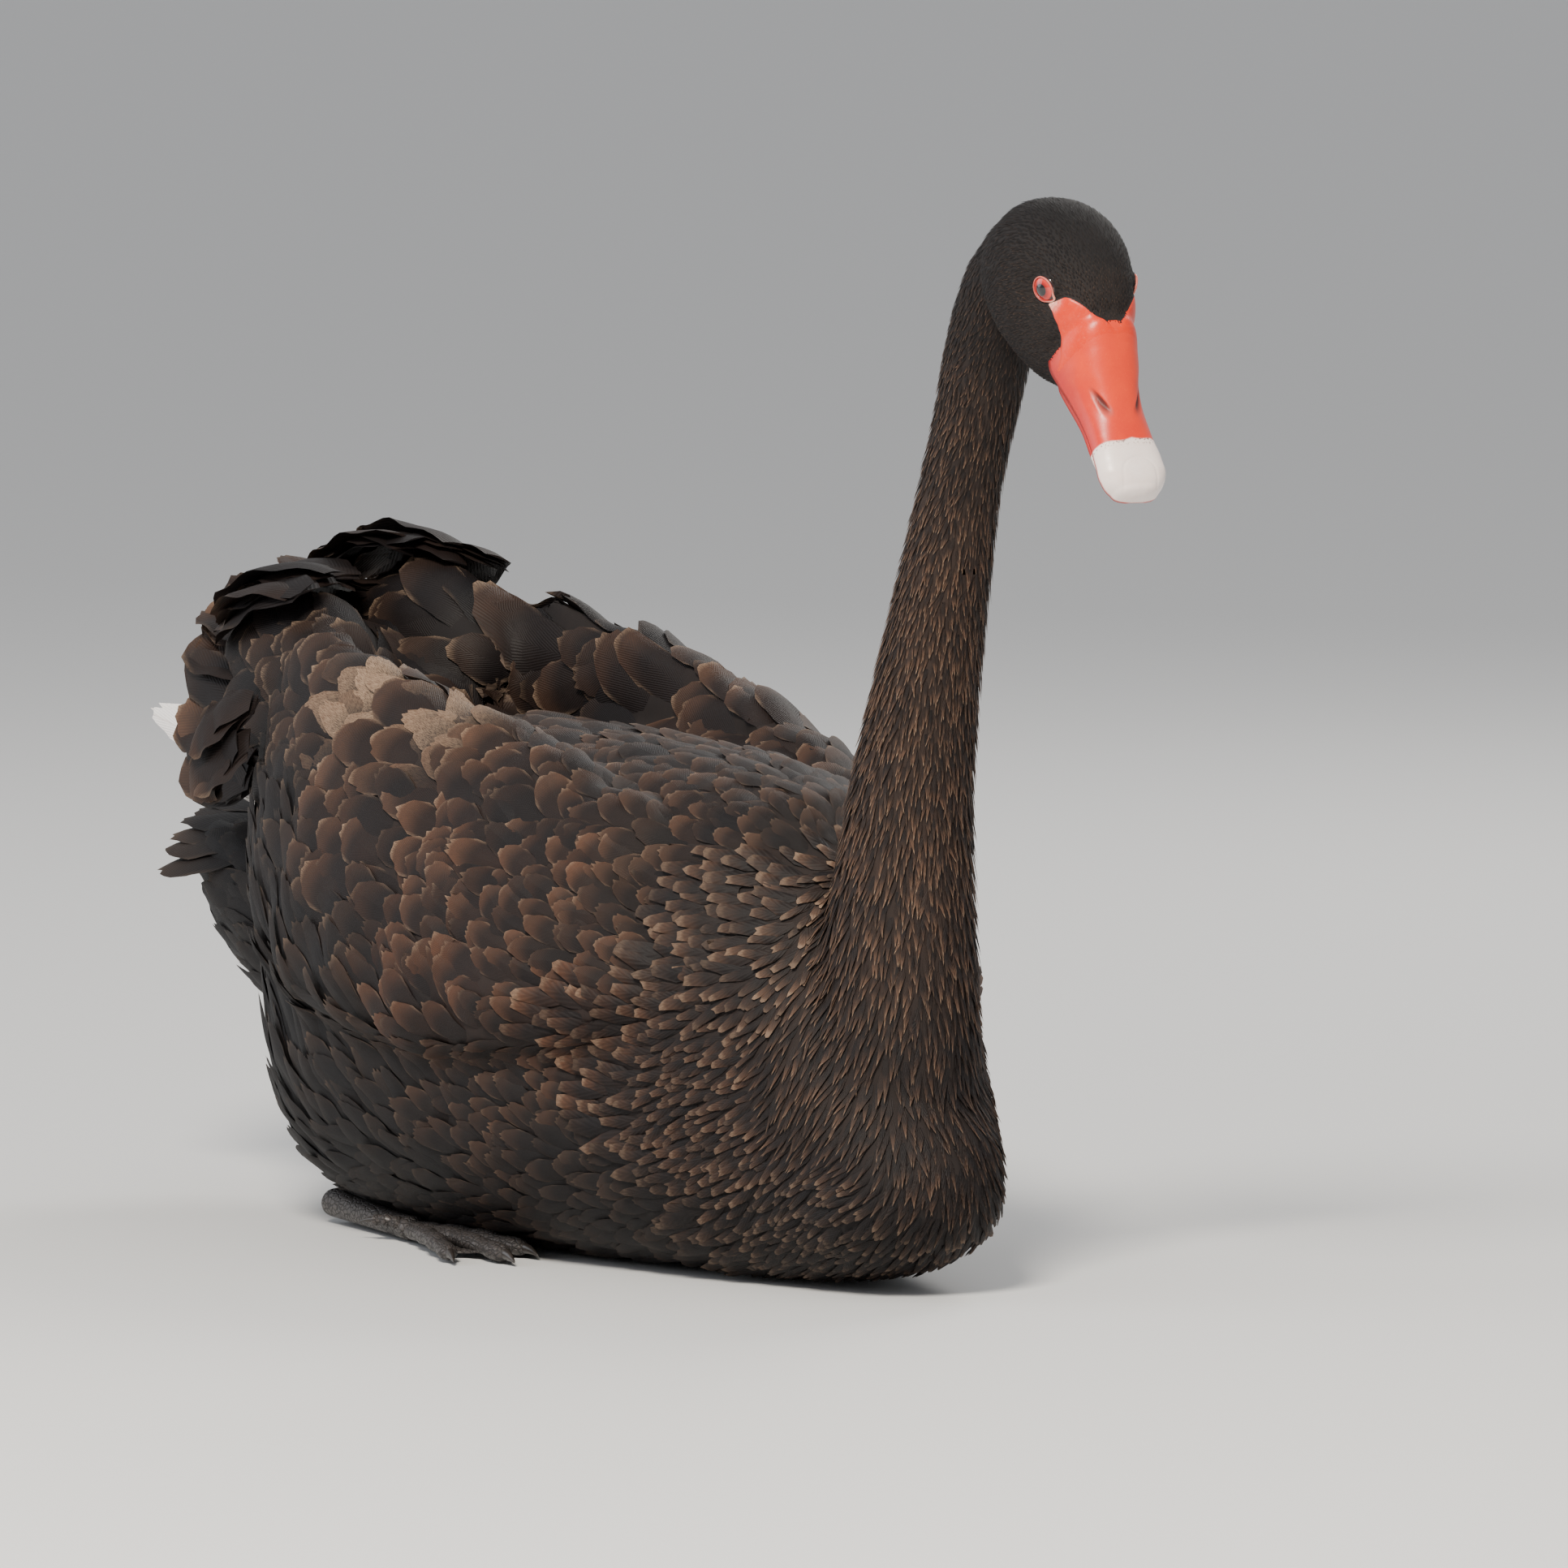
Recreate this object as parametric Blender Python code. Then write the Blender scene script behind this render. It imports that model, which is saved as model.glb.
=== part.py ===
"""A life-size black swan that rests on its belly, its neck raised and its bill lowered.

Metres, +X forward, +Y to the bird's left, +Z up. The origin is the middle of the flat under the belly.
"""

import math
import random

import bmesh
import bpy
from mathutils import Matrix, Vector

GAP = 0.0003  # kept between nodes that touch
VANE_GAP = 0.0005  # kept from feathers that a neighbour's reach between
RIGHT, LEFT = -1, 1
SIDES = ((RIGHT, "right"), (LEFT, "left"))

# Torso, from breast to vent: x, half width, lowest z, highest z
TORSO_STATIONS = (
    (0.2380, 0.004, 0.042, 0.050),
    (0.2340, 0.020, 0.028, 0.064),
    (0.2250, 0.032, 0.018, 0.076),
    (0.2120, 0.040, 0.010, 0.090),
    (0.1950, 0.046, 0.004, 0.116),
    (0.1800, 0.051, 0.001, 0.146),
    (0.1550, 0.062, -0.003, 0.178),
    (0.1290, 0.073, -0.005, 0.195),
    (0.0850, 0.087, -0.007, 0.202),
    (0.0500, 0.098, -0.007, 0.204),
    (0.0000, 0.107, -0.007, 0.205),
    (-0.0500, 0.111, -0.007, 0.206),
    (-0.1000, 0.109, -0.007, 0.206),
    (-0.1500, 0.097, -0.004, 0.202),
    (-0.1900, 0.076, 0.010, 0.192),
    (-0.2200, 0.058, 0.030, 0.178),
    (-0.2450, 0.044, 0.052, 0.165),
    (-0.2620, 0.030, 0.074, 0.156),
    (-0.2720, 0.014, 0.098, 0.146),
)
TORSO_RINGS = 21
TORSO_SIDES = 24
TORSO_WIDEST_SHARE = 0.45  # height of the widest line, as a share of the ring's height
TORSO_UPPER_ROUND = 2.1
TORSO_LOWER_ROUND = 2.5

# Neck, from inside the breast to inside the head: x, z, half width, half depth
NECK_STATIONS = (
    (0.1350, 0.0560, 0.0440, 0.0380),
    (0.1740, 0.0620, 0.0410, 0.0400),
    (0.1895, 0.0850, 0.0368, 0.0380),
    (0.1920, 0.1080, 0.0333, 0.0350),
    (0.1950, 0.1390, 0.0297, 0.0312),
    (0.2012, 0.1865, 0.0255, 0.0268),
    (0.2137, 0.2345, 0.0217, 0.0228),
    (0.2292, 0.2825, 0.0186, 0.0196),
    (0.2398, 0.3140, 0.0168, 0.0178),
    (0.2532, 0.3460, 0.0164, 0.0176),
    (0.2615, 0.3680, 0.0170, 0.0180),
    (0.2730, 0.3885, 0.0180, 0.0190),
    (0.2880, 0.4025, 0.0180, 0.0190),
    (0.3060, 0.4060, 0.0150, 0.0150),
)
NECK_RINGS = 26
NECK_SIDES = 16
NECK_PARTING = 0.50  # share of the neck's length below the cut
NECK_LENGTH = 0.42

# Head, in its own frame: a along the gape towards the bill's tip, b upwards
HEAD_ORIGIN = Vector((0.335, 0.0, 0.360))
HEAD_PITCH = math.radians(50.0)
HEAD_STATIONS = (  # a, half width, lowest b, highest b
    (-0.0745, 0.0040, 0.0000, 0.0105),
    (-0.0720, 0.0130, -0.0085, 0.0182),
    (-0.0655, 0.0205, -0.0155, 0.0252),
    (-0.0570, 0.0250, -0.0210, 0.0306),
    (-0.0470, 0.0268, -0.0240, 0.0340),
    (-0.0370, 0.0260, -0.0250, 0.0358),
    (-0.0260, 0.0230, -0.0242, 0.0360),
    (-0.0160, 0.0196, -0.0214, 0.0337),
    (-0.0070, 0.0160, -0.0168, 0.0288),
    (0.0000, 0.0124, -0.0110, 0.0228),
    (0.0050, 0.0070, -0.0050, 0.0160),
    (0.0070, 0.0020, 0.0020, 0.0090),
)
HEAD_RINGS = 16
HEAD_SIDES = 20
HEAD_ROUND = 2.35

UPPER_BILL_STATIONS = (  # a, half width, edge b, ridge b
    (-0.0150, 0.0120, 0.0020, 0.0260),
    (-0.0060, 0.0158, 0.0000, 0.0290),
    (0.0040, 0.0152, 0.0000, 0.0240),
    (0.0140, 0.0136, 0.0005, 0.0182),
    (0.0240, 0.0128, 0.0010, 0.0134),
    (0.0340, 0.0130, 0.0012, 0.0105),
    (0.0440, 0.0140, 0.0008, 0.0090),
    (0.0500, 0.0138, -0.0005, 0.0078),
    (0.0545, 0.0108, -0.0025, 0.0058),
    (0.0570, 0.0070, -0.0035, 0.0036),
    (0.0582, 0.0022, -0.0032, 0.0006),
)
LOWER_BILL_STATIONS = (  # a, half width, keel b, edge b
    (-0.0150, 0.0100, -0.0100, -0.0030),
    (-0.0060, 0.0128, -0.0100, -0.0004),
    (0.0040, 0.0130, -0.0085, -0.0004),
    (0.0240, 0.0118, -0.0060, 0.0004),
    (0.0440, 0.0122, -0.0048, 0.0002),
    (0.0500, 0.0100, -0.0050, -0.0014),
    (0.0530, 0.0050, -0.0052, -0.0034),
)
BILL_RINGS = 13
BILL_SIDES = 14
NOSTRIL_PLACE = (0.0205, 0.0112, 0.0118)  # a, b and distance from the middle
NOSTRIL_HALF_SIZES = (0.0055, 0.0011, 0.0030)
NOSTRIL_TURN = math.radians(-14.0)  # down towards the bill's tip

EYE_PLACE = (-0.0255, 0.0200, 0.0142)  # a, b and distance from the middle
EYE_RADIUS = 0.0063
EYE_AXIS = (0.36, 0.04, 0.93)  # the way it looks: along a, b and out
LID_RADIUS = 0.0074
LID_OPENING = (0.0050, 0.0040, 0.0042)  # half sizes along a, b and out

# Folded wing, from shoulder to rear: x, ridge y and z, lower edge y and z, bulge
WING_STATIONS = (
    (0.1350, 0.034, 0.145, 0.064, 0.112, 0.008),
    (0.1200, 0.036, 0.167, 0.077, 0.096, 0.017),
    (0.0900, 0.040, 0.182, 0.091, 0.084, 0.023),
    (0.0500, 0.046, 0.194, 0.102, 0.078, 0.027),
    (0.0000, 0.051, 0.205, 0.108, 0.076, 0.030),
    (-0.0500, 0.055, 0.214, 0.109, 0.078, 0.030),
    (-0.1000, 0.056, 0.223, 0.103, 0.084, 0.028),
    (-0.1500, 0.052, 0.231, 0.088, 0.094, 0.023),
    (-0.1900, 0.045, 0.234, 0.069, 0.108, 0.017),
    (-0.2300, 0.036, 0.226, 0.050, 0.126, 0.011),
    (-0.2700, 0.028, 0.214, 0.036, 0.146, 0.006),
)
WING_HIGHER = {RIGHT: 0.0, LEFT: 0.010}  # of the ridge at the rear, where the left wing rides up
WING_HIGHER_FROM, WING_HIGHER_TO = 0.02, -0.16
WING_CORE_ENDS = (0.1330, -0.2260)
WING_RINGS = 12
WING_SIDES = 14
WING_ARC = 0.175  # length round the outer face, from ridge to lower edge

# Coverts on the wing, in tiers from the shoulder to the rear
COVERT_FIRST_X, COVERT_LAST_X, COVERT_TIERS = 0.110, -0.188, 7
COVERTS_IN_TIER = 6
COVERT_LENGTH = (0.060, 0.070)  # in the first tier and in the last
COVERT_HALF_WIDTH = 0.0175
COVERT_TILT = math.radians(7.0)
COVERT_SLANT = 0.050  # how far a tier's low end lies behind its high end
COVERT_RISE = (math.radians(6.0), math.radians(34.0))  # of the lie, at the ridge and at the low edge
COVERT_SINK, COVERT_LIFT = 0.0035, 0.0050  # of a vane's root into the wing and of its tip off it
COVERT_LIFT_POWER = 1.6  # above 1, a vane lifts most near its root
COVERT_SCATTER = 0.002  # of the roots, back and forth
COVERT_SHARES = (0.35, 0.75)  # of the first root's place in its column, by turns from tier to tier

# Curled tertials at the rear of each wing: root, bend and tip as x, out, z; half width; roll
TERTIALS = (
    ((-0.190, 0.016, 0.216), (-0.240, 0.012, 0.290), (-0.300, 0.012, 0.238), 0.0160, 0.0),
    ((-0.180, 0.028, 0.218), (-0.232, 0.030, 0.288), (-0.294, 0.028, 0.240), 0.0165, 8.0),
    ((-0.172, 0.038, 0.220), (-0.220, 0.046, 0.278), (-0.278, 0.044, 0.234), 0.0160, 22.0),
    ((-0.200, 0.020, 0.210), (-0.252, 0.020, 0.262), (-0.310, 0.018, 0.224), 0.0160, 4.0),
    ((-0.195, 0.018, 0.208), (-0.280, 0.014, 0.234), (-0.332, 0.012, 0.248), 0.0140, 0.0),
    ((-0.195, 0.028, 0.204), (-0.277, 0.028, 0.224), (-0.328, 0.024, 0.240), 0.0130, 10.0),
    ((-0.195, 0.036, 0.199), (-0.271, 0.040, 0.212), (-0.320, 0.032, 0.226), 0.0125, 28.0),
    ((-0.195, 0.042, 0.194), (-0.265, 0.050, 0.200), (-0.311, 0.040, 0.211), 0.0125, 46.0),
    ((-0.195, 0.046, 0.188), (-0.260, 0.057, 0.188), (-0.305, 0.046, 0.198), 0.0120, 62.0),
    ((-0.190, 0.048, 0.180), (-0.250, 0.062, 0.173), (-0.294, 0.052, 0.180), 0.0130, 74.0),
    ((-0.172, 0.056, 0.210), (-0.210, 0.078, 0.214), (-0.232, 0.078, 0.194), 0.0130, 60.0),
    ((-0.172, 0.060, 0.196), (-0.208, 0.083, 0.195), (-0.230, 0.081, 0.175), 0.0125, 72.0),
)
TERTIAL_BED = ((-0.2220, 0.030, 0.214), (0.046, 0.024, 0.028))  # middle and half sizes
TERTIAL_LIFT = {RIGHT: -0.004, LEFT: 0.005}  # the left wing's stand higher

# White flight feathers between wing and tail: root, bend and tip as x, out, z; half width; roll
PRIMARIES = (
    ((-0.205, 0.034, 0.166), (-0.268, 0.048, 0.180), (-0.336, 0.048, 0.192), 0.0090, 70.0),
    ((-0.205, 0.031, 0.160), (-0.262, 0.043, 0.171), (-0.324, 0.040, 0.183), 0.0090, 66.0),
    ((-0.205, 0.028, 0.154), (-0.256, 0.038, 0.163), (-0.310, 0.032, 0.174), 0.0090, 62.0),
)
PRIMARY_BED = ((-0.2300, 0.034, 0.165), (0.030, 0.010, 0.014))

# Tail: the wedge of coverts under it, and its fan of flight feathers
UNDERTAIL_STATIONS = (  # x, half width, lowest z, highest z
    (-0.2250, 0.052, 0.044, 0.150),
    (-0.2550, 0.054, 0.058, 0.154),
    (-0.2850, 0.052, 0.072, 0.156),
    (-0.3050, 0.047, 0.084, 0.156),
    (-0.3200, 0.038, 0.102, 0.154),
    (-0.3300, 0.026, 0.122, 0.151),
    (-0.3350, 0.010, 0.136, 0.147),
)
UNDERTAIL_RINGS = 9
UNDERTAIL_SHAPE = (18, 3.0, 2.0, 0.72)  # sides, roundness above and below, height of the widest line
TAIL_FEATHERS = 11
TAIL_ROOT = Vector((-0.236, 0.0, 0.152))
TAIL_LENGTH = (0.106, 0.092)  # of the middle feathers and of the outer ones
TAIL_SPREAD = math.radians(30.0)
TAIL_RISE, TAIL_DROOP = 0.004, 0.016  # of the middle feathers' tips, and of the outer ones'
TAIL_HALF_WIDTH = 0.0120
TAIL_HALF_BASE = 0.026  # from the middle root to the outer ones
TAIL_BASE_DROOP = 0.008  # of the outer roots below the middle one
TAIL_STAGGER = 0.0011  # of every second root, upwards
TAIL_ARCH = 0.006  # of each feather's middle above its ends
TAIL_GATHER = 0.62  # how much of the spread the feathers show across

# Leg, lying on the floor from heel to toes: x, out, z, half width, half height
SHANK_RINGS, SHANK_SIDES = 7, 10
SHANK_STATIONS = (
    (-0.1500, 0.066, 0.0080, 0.0050, 0.0070),
    (-0.1420, 0.067, 0.0075, 0.0070, 0.0085),
    (-0.1100, 0.070, 0.0060, 0.0052, 0.0068),
    (-0.0700, 0.074, 0.0050, 0.0056, 0.0062),
    (-0.0560, 0.076, 0.0040, 0.0060, 0.0050),
)
TOE_ROOT = (-0.062, 0.0755)
TOE_PROFILE = ((-0.06, 0.90), (0.30, 1.0), (0.70, 0.82), (0.93, 0.62), (1.0, 0.20))  # share, width
TOE_SIDES = 8
TOE_RISE = 0.8  # of a toe's middle off the floor, in half widths
WEB_BACK, WEB_SHARE = 0.004, 0.84  # the web's start behind the toes' root, and its share of their length
WEB_LEVELS = (0.0003, 0.0021)
TOES = (  # reach along x, reach out, half width
    (0.078, -0.010, 0.0048),
    (0.094, 0.008, 0.0050),
    (0.080, 0.026, 0.0046),
)
HIND_TOE = (-0.016, 0.010, 0.0032)

MATERIALS = {  # colour, roughness, metallic
    "plumage": ((0.022, 0.019, 0.019), 0.62, 0.0),
    "flight_white": ((0.86, 0.85, 0.82), 0.60, 0.0),
    "bill": ((0.72, 0.035, 0.018), 0.32, 0.0),
    "eye": ((0.55, 0.03, 0.02), 0.08, 0.0),
    "foot": ((0.030, 0.028, 0.028), 0.55, 0.0),
}

# Outline of a vane: share of its length, share of its width
PLUME_PROFILE = ((0.0, 0.45), (0.38, 0.92), (0.74, 1.0), (0.94, 0.60))
COVERT_PROFILE = ((0.0, 0.60), (0.55, 1.0), (0.90, 0.66))
VANE_THICKNESS = 0.0009


def clear_scene():
    for obj in list(bpy.data.objects):
        bpy.data.objects.remove(obj, do_unlink=True)


def along(stations, x):
    """The stations' values at x, on a smooth curve through them. The stations run up or down in x."""
    rows = stations if stations[0][0] < stations[-1][0] else stations[::-1]
    if x <= rows[0][0]:
        return rows[0][1:]
    if x >= rows[-1][0]:
        return rows[-1][1:]
    k = max(i for i in range(len(rows) - 1) if rows[i][0] <= x)
    lower, upper = rows[k], rows[k + 1]
    before, after = rows[max(k - 1, 0)], rows[min(k + 2, len(rows) - 1)]
    span = upper[0] - lower[0]
    t = (x - lower[0]) / span
    values = []
    for j in range(1, len(lower)):
        step = upper[j] - lower[j]
        most = 3 * abs(step)
        leaving = (upper[j] - before[j]) / (upper[0] - before[0]) * span
        arriving = (after[j] - lower[j]) / (after[0] - lower[0]) * span
        leaving = max(-most, min(most, leaving))
        arriving = max(-most, min(most, arriving))
        value = lower[j] * (1 + 2 * t) * (1 - t) ** 2 + upper[j] * t * t * (3 - 2 * t)
        values.append(value + leaving * t * (1 - t) ** 2 + arriving * t * t * (t - 1))
    return tuple(values)


def eased(start, end, count):
    """count places from start to end, closer together near both ends."""
    return [start + (end - start) * (0.5 - 0.5 * math.cos(math.pi * i / (count - 1))) for i in range(count)]


def mixed(pair, share):
    return pair[0] + (pair[1] - pair[0]) * share


def signed_power(value, power):
    return math.copysign(abs(value) ** power, value)


def bent(root, bend, tip, t):
    """The place t of the way along a curve that leaves root towards bend and ends at tip."""
    return root * (1 - t) ** 2 + bend * 2 * t * (1 - t) + tip * t * t


def mesh_object(name, points, faces):
    mesh = bpy.data.meshes.new(name)
    mesh.from_pydata([tuple(p) for p in points], [], faces)
    obj = bpy.data.objects.new(name, mesh)
    bpy.context.scene.collection.objects.link(obj)
    work = bmesh.new()
    work.from_mesh(mesh)
    bmesh.ops.triangulate(work, faces=work.faces)
    bmesh.ops.recalc_face_normals(work, faces=work.faces)
    work.to_mesh(mesh)
    work.free()
    return obj


def loft(name, rings):
    """A closed body through rings of equal length, with its first and last ring capped."""
    sides = len(rings[0])
    points = [p for ring in rings for p in ring]
    faces = []
    for i in range(len(rings) - 1):
        for j in range(sides):
            a, b = i * sides + j, i * sides + (j + 1) % sides
            faces.append((a, b, b + sides, a + sides))
    for first in (0, (len(rings) - 1) * sides):
        middle = len(points)
        points.append(sum((points[first + j] for j in range(sides)), Vector()) / sides)
        faces += [(middle, first + j, first + (j + 1) % sides) for j in range(sides)]
    return mesh_object(name, points, faces)


def ellipsoid(name, middle, half_sizes, turn=None, detail=2):
    bpy.ops.mesh.primitive_ico_sphere_add(subdivisions=detail, radius=1.0)
    ball = bpy.context.object
    ball.name = ball.data.name = name
    ball.data.transform(Matrix.Diagonal((*half_sizes, 1.0)))
    if turn is not None:
        ball.data.transform(turn)
    ball.data.transform(Matrix.Translation(middle))
    return ball


def vane(path, normal_at, half_width, profile, tilt=0.0):
    """One feather: a thin, round-ended blade along path, a function of 0 to 1, its face towards normal_at."""
    points, faces = [], []
    shares = [share for share, _ in profile] + [1.0]
    for i, share in enumerate(shares):
        place = path(share)
        ahead = (path(min(share + 0.02, 1.0)) - path(max(share - 0.02, 0.0))).normalized()
        normal = normal_at(share)
        normal = (normal - ahead * normal.dot(ahead)).normalized()
        across = ahead.cross(normal)
        normal, across = (
            normal * math.cos(tilt) + across * math.sin(tilt),
            across * math.cos(tilt) - normal * math.sin(tilt),
        )
        if i == len(shares) - 1:
            points.append(place)
            break
        half = half_width * profile[i][1]
        edge, face = across * half, normal * VANE_THICKNESS / 2
        points += [place - edge - face, place - edge + face, place + edge + face, place + edge - face]
    rings = len(profile)
    for i in range(rings - 1):
        for near, far in ((0, 3), (1, 2), (0, 1), (3, 2)):
            a, b = 4 * i + near, 4 * i + far
            faces += [(a, b, b + 4), (a, b + 4, a + 4)]
    tip = len(points) - 1
    last = 4 * (rings - 1)
    faces += [(last + k, last + (k + 1) % 4, tip) for k in range(4)]
    faces += [(0, 1, 2), (0, 2, 3)]
    return mesh_object("vane", points, faces)


def grown(obj, distance):
    """A copy of obj with each point moved out along its normal."""
    copy = obj.copy()
    copy.data = obj.data.copy()
    bpy.context.scene.collection.objects.link(copy)
    normals = [v.normal.copy() for v in copy.data.vertices]
    for vertex, normal in zip(copy.data.vertices, normals):
        vertex.co += normal * distance
    return copy


def apply_boolean(obj, operation, others, solver="EXACT"):
    """Joins others to obj, or cuts them from it, by one Boolean on a collection that is then removed."""
    group = bpy.data.collections.new("operands")
    bpy.context.scene.collection.children.link(group)
    for other in others:
        group.objects.link(other)
    modifier = obj.modifiers.new(operation, "BOOLEAN")
    modifier.operation = operation
    modifier.solver = solver
    modifier.operand_type = "COLLECTION"
    modifier.collection = group
    graph = bpy.context.evaluated_depsgraph_get()
    mesh = bpy.data.meshes.new_from_object(obj.evaluated_get(graph))
    obj.modifiers.clear()
    obj.data = mesh
    for other in others:
        bpy.data.objects.remove(other, do_unlink=True)
    bpy.data.collections.remove(group)
    keep_largest(obj)


def keep_largest(obj):
    """Drops all of obj's closed surfaces but the largest."""
    work = bmesh.new()
    work.from_mesh(obj.data)
    bmesh.ops.triangulate(work, faces=work.faces)
    left = set(work.faces)
    shells = []
    while left:
        shell, front = set(), [left.pop()]
        while front:
            face = front.pop()
            shell.add(face)
            for edge in face.edges:
                for other in edge.link_faces:
                    if other in left:
                        left.remove(other)
                        front.append(other)
        shells.append(shell)
    shells.sort(key=lambda shell: sum(face.calc_area() for face in shell))
    for shell in shells[:-1]:
        bmesh.ops.delete(work, geom=list(shell), context="FACES")
    work.to_mesh(obj.data)
    work.free()


def cut_clear(obj, forms, gap=GAP, solver="EXACT"):
    """Cuts obj back from each of forms, leaving the gap that touching nodes keep."""
    apply_boolean(obj, "DIFFERENCE", [grown(form, gap) for form in forms], solver)


def feathered(core, vanes):
    """The core with its vanes joined to it, and copies of all its forms to cut neighbours by."""
    forms = [grown(form, 0.0) for form in (core, *vanes)]
    for form in forms:
        form.hide_render = True
        form.display_type = "WIRE"
    apply_boolean(core, "UNION", vanes, "MANIFOLD")
    return core, forms


def oval_ring(x, half_width, low, high, sides, upper_round, lower_round, widest_share, floor=None):
    """A ring across x that is round to its own degree above and below its widest line."""
    widest = low + (high - low) * widest_share
    ring = []
    for j in range(sides):
        angle = 2 * math.pi * (j + 0.5) / sides
        above = math.sin(angle) > 0
        power = 2 / (upper_round if above else lower_round)
        reach = high - widest if above else widest - low
        y = half_width * signed_power(math.cos(angle), power)
        z = widest + reach * signed_power(math.sin(angle), power)
        ring.append(Vector((x, y, z if floor is None else max(z, floor))))
    return ring


def make_torso():
    rings = []
    for x in eased(TORSO_STATIONS[0][0], TORSO_STATIONS[-1][0], TORSO_RINGS):
        shape = (TORSO_SIDES, TORSO_UPPER_ROUND, TORSO_LOWER_ROUND, TORSO_WIDEST_SHARE, 0.0)
        rings.append(oval_ring(x, *along(TORSO_STATIONS, x), *shape))
    return loft("torso", rings)


def neck_rings(first, last, count):
    """Rings across the neck's line between two shares of its length."""
    lengths = [0.0]
    for a, b in zip(NECK_STATIONS, NECK_STATIONS[1:]):
        lengths.append(lengths[-1] + math.hypot(b[0] - a[0], b[1] - a[1]))
    line = tuple((length / lengths[-1], *row) for length, row in zip(lengths, NECK_STATIONS))
    rings = []
    for i in range(count):
        share = first + (last - first) * i / (count - 1)
        x, z, half_width, half_depth = along(line, share)
        x0, z0 = along(line, share - 0.01)[:2]
        x1, z1 = along(line, share + 0.01)[:2]
        depth = Vector((z1 - z0, 0.0, x0 - x1)).normalized() * half_depth
        width = Vector((0.0, half_width, 0.0))
        angles = [2 * math.pi * (j + 0.5) / NECK_SIDES for j in range(NECK_SIDES)]
        rings.append([Vector((x, 0.0, z)) + depth * math.cos(a) + width * math.sin(a) for a in angles])
    return rings


def make_neck(torso, head):
    below = round(NECK_RINGS * NECK_PARTING)
    half_cut = GAP / 2 / NECK_LENGTH
    lower = loft("neck_lower", neck_rings(0.0, NECK_PARTING - half_cut, below))
    upper = loft("neck_upper", neck_rings(NECK_PARTING + half_cut, 1.0, NECK_RINGS - below))
    cut_clear(lower, [torso])
    cut_clear(upper, [head])
    return lower, upper


def head_frame(a, b, y):
    """The place a along the head, b up from its gape line and y to the left."""
    forward = Vector((math.cos(HEAD_PITCH), 0, -math.sin(HEAD_PITCH)))
    upward = Vector((math.sin(HEAD_PITCH), 0, math.cos(HEAD_PITCH)))
    return HEAD_ORIGIN + forward * a + upward * b + Vector((0, y, 0))


def make_head():
    rings = []
    for a in eased(HEAD_STATIONS[0][0], HEAD_STATIONS[-1][0], HEAD_RINGS):
        half_width, low, high = along(HEAD_STATIONS, a)
        ring = []
        for j in range(HEAD_SIDES):
            angle = 2 * math.pi * (j + 0.5) / HEAD_SIDES
            y = half_width * signed_power(math.cos(angle), 2 / HEAD_ROUND)
            b = (low + high) / 2 + (high - low) / 2 * signed_power(math.sin(angle), 2 / HEAD_ROUND)
            ring.append(head_frame(a, b, y))
        rings.append(ring)
    return loft("head", rings)


def make_mandible(name, stations, upper):
    """A body with the flat of the gape on one side and a dome, above or below, on the other."""
    rings = []
    for a in eased(stations[0][0], stations[-1][0], BILL_RINGS):
        half_width, low, high = along(stations, a)
        ring = []
        for j in range(BILL_SIDES):
            angle = 2 * math.pi * (j + 0.5) / BILL_SIDES
            rise = max(0.0, math.sin(angle) if upper else -math.sin(angle)) ** 0.8
            y = half_width * signed_power(math.cos(angle), 0.75)
            ring.append(head_frame(a, low + (high - low) * rise if upper else high - (high - low) * rise, y))
        rings.append(ring)
    return loft(name, rings)


def head_turn(angle):
    """The turn that lays an ellipsoid's first axis along the head, then by angle towards its crown."""
    return Matrix.Rotation(HEAD_PITCH - angle, 4, "Y")


def make_bill(head):
    upper = make_mandible("bill_upper", UPPER_BILL_STATIONS, True)
    lower = make_mandible("bill_lower", LOWER_BILL_STATIONS, False)
    cut_clear(upper, [head])
    cut_clear(lower, [head, upper])
    a, b, out = NOSTRIL_PLACE
    along_size, up_size, out_size = NOSTRIL_HALF_SIZES
    turn = head_turn(NOSTRIL_TURN)
    slots = [
        ellipsoid("slot", head_frame(a, b, side * out), (along_size, out_size, up_size), turn)
        for side, _ in SIDES
    ]
    apply_boolean(upper, "DIFFERENCE", slots)
    return upper, lower


def make_eyes(head):
    """Two eyeballs, each in lids that stand off the head and open on it."""
    a, b, out = EYE_PLACE
    along_size, up_size, out_size = LID_OPENING
    look_a, look_b, look_out = (LID_RADIUS * share for share in EYE_AXIS)
    turn = head_turn(0.0)
    eyes = []
    for side, end in SIDES:
        middle = head_frame(a, b, side * out)
        opening = head_frame(a + look_a, b + look_b, side * (out + look_out))
        apply_boolean(head, "UNION", [ellipsoid("lids", middle, [LID_RADIUS] * 3)])
        eye = ellipsoid(f"eye_{end}", middle, [EYE_RADIUS] * 3)
        hole = ellipsoid("hole", opening, (along_size, out_size, up_size), turn)
        apply_boolean(head, "DIFFERENCE", [grown(eye, GAP), hole])
        eyes.append(eye)
    return eyes


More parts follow.
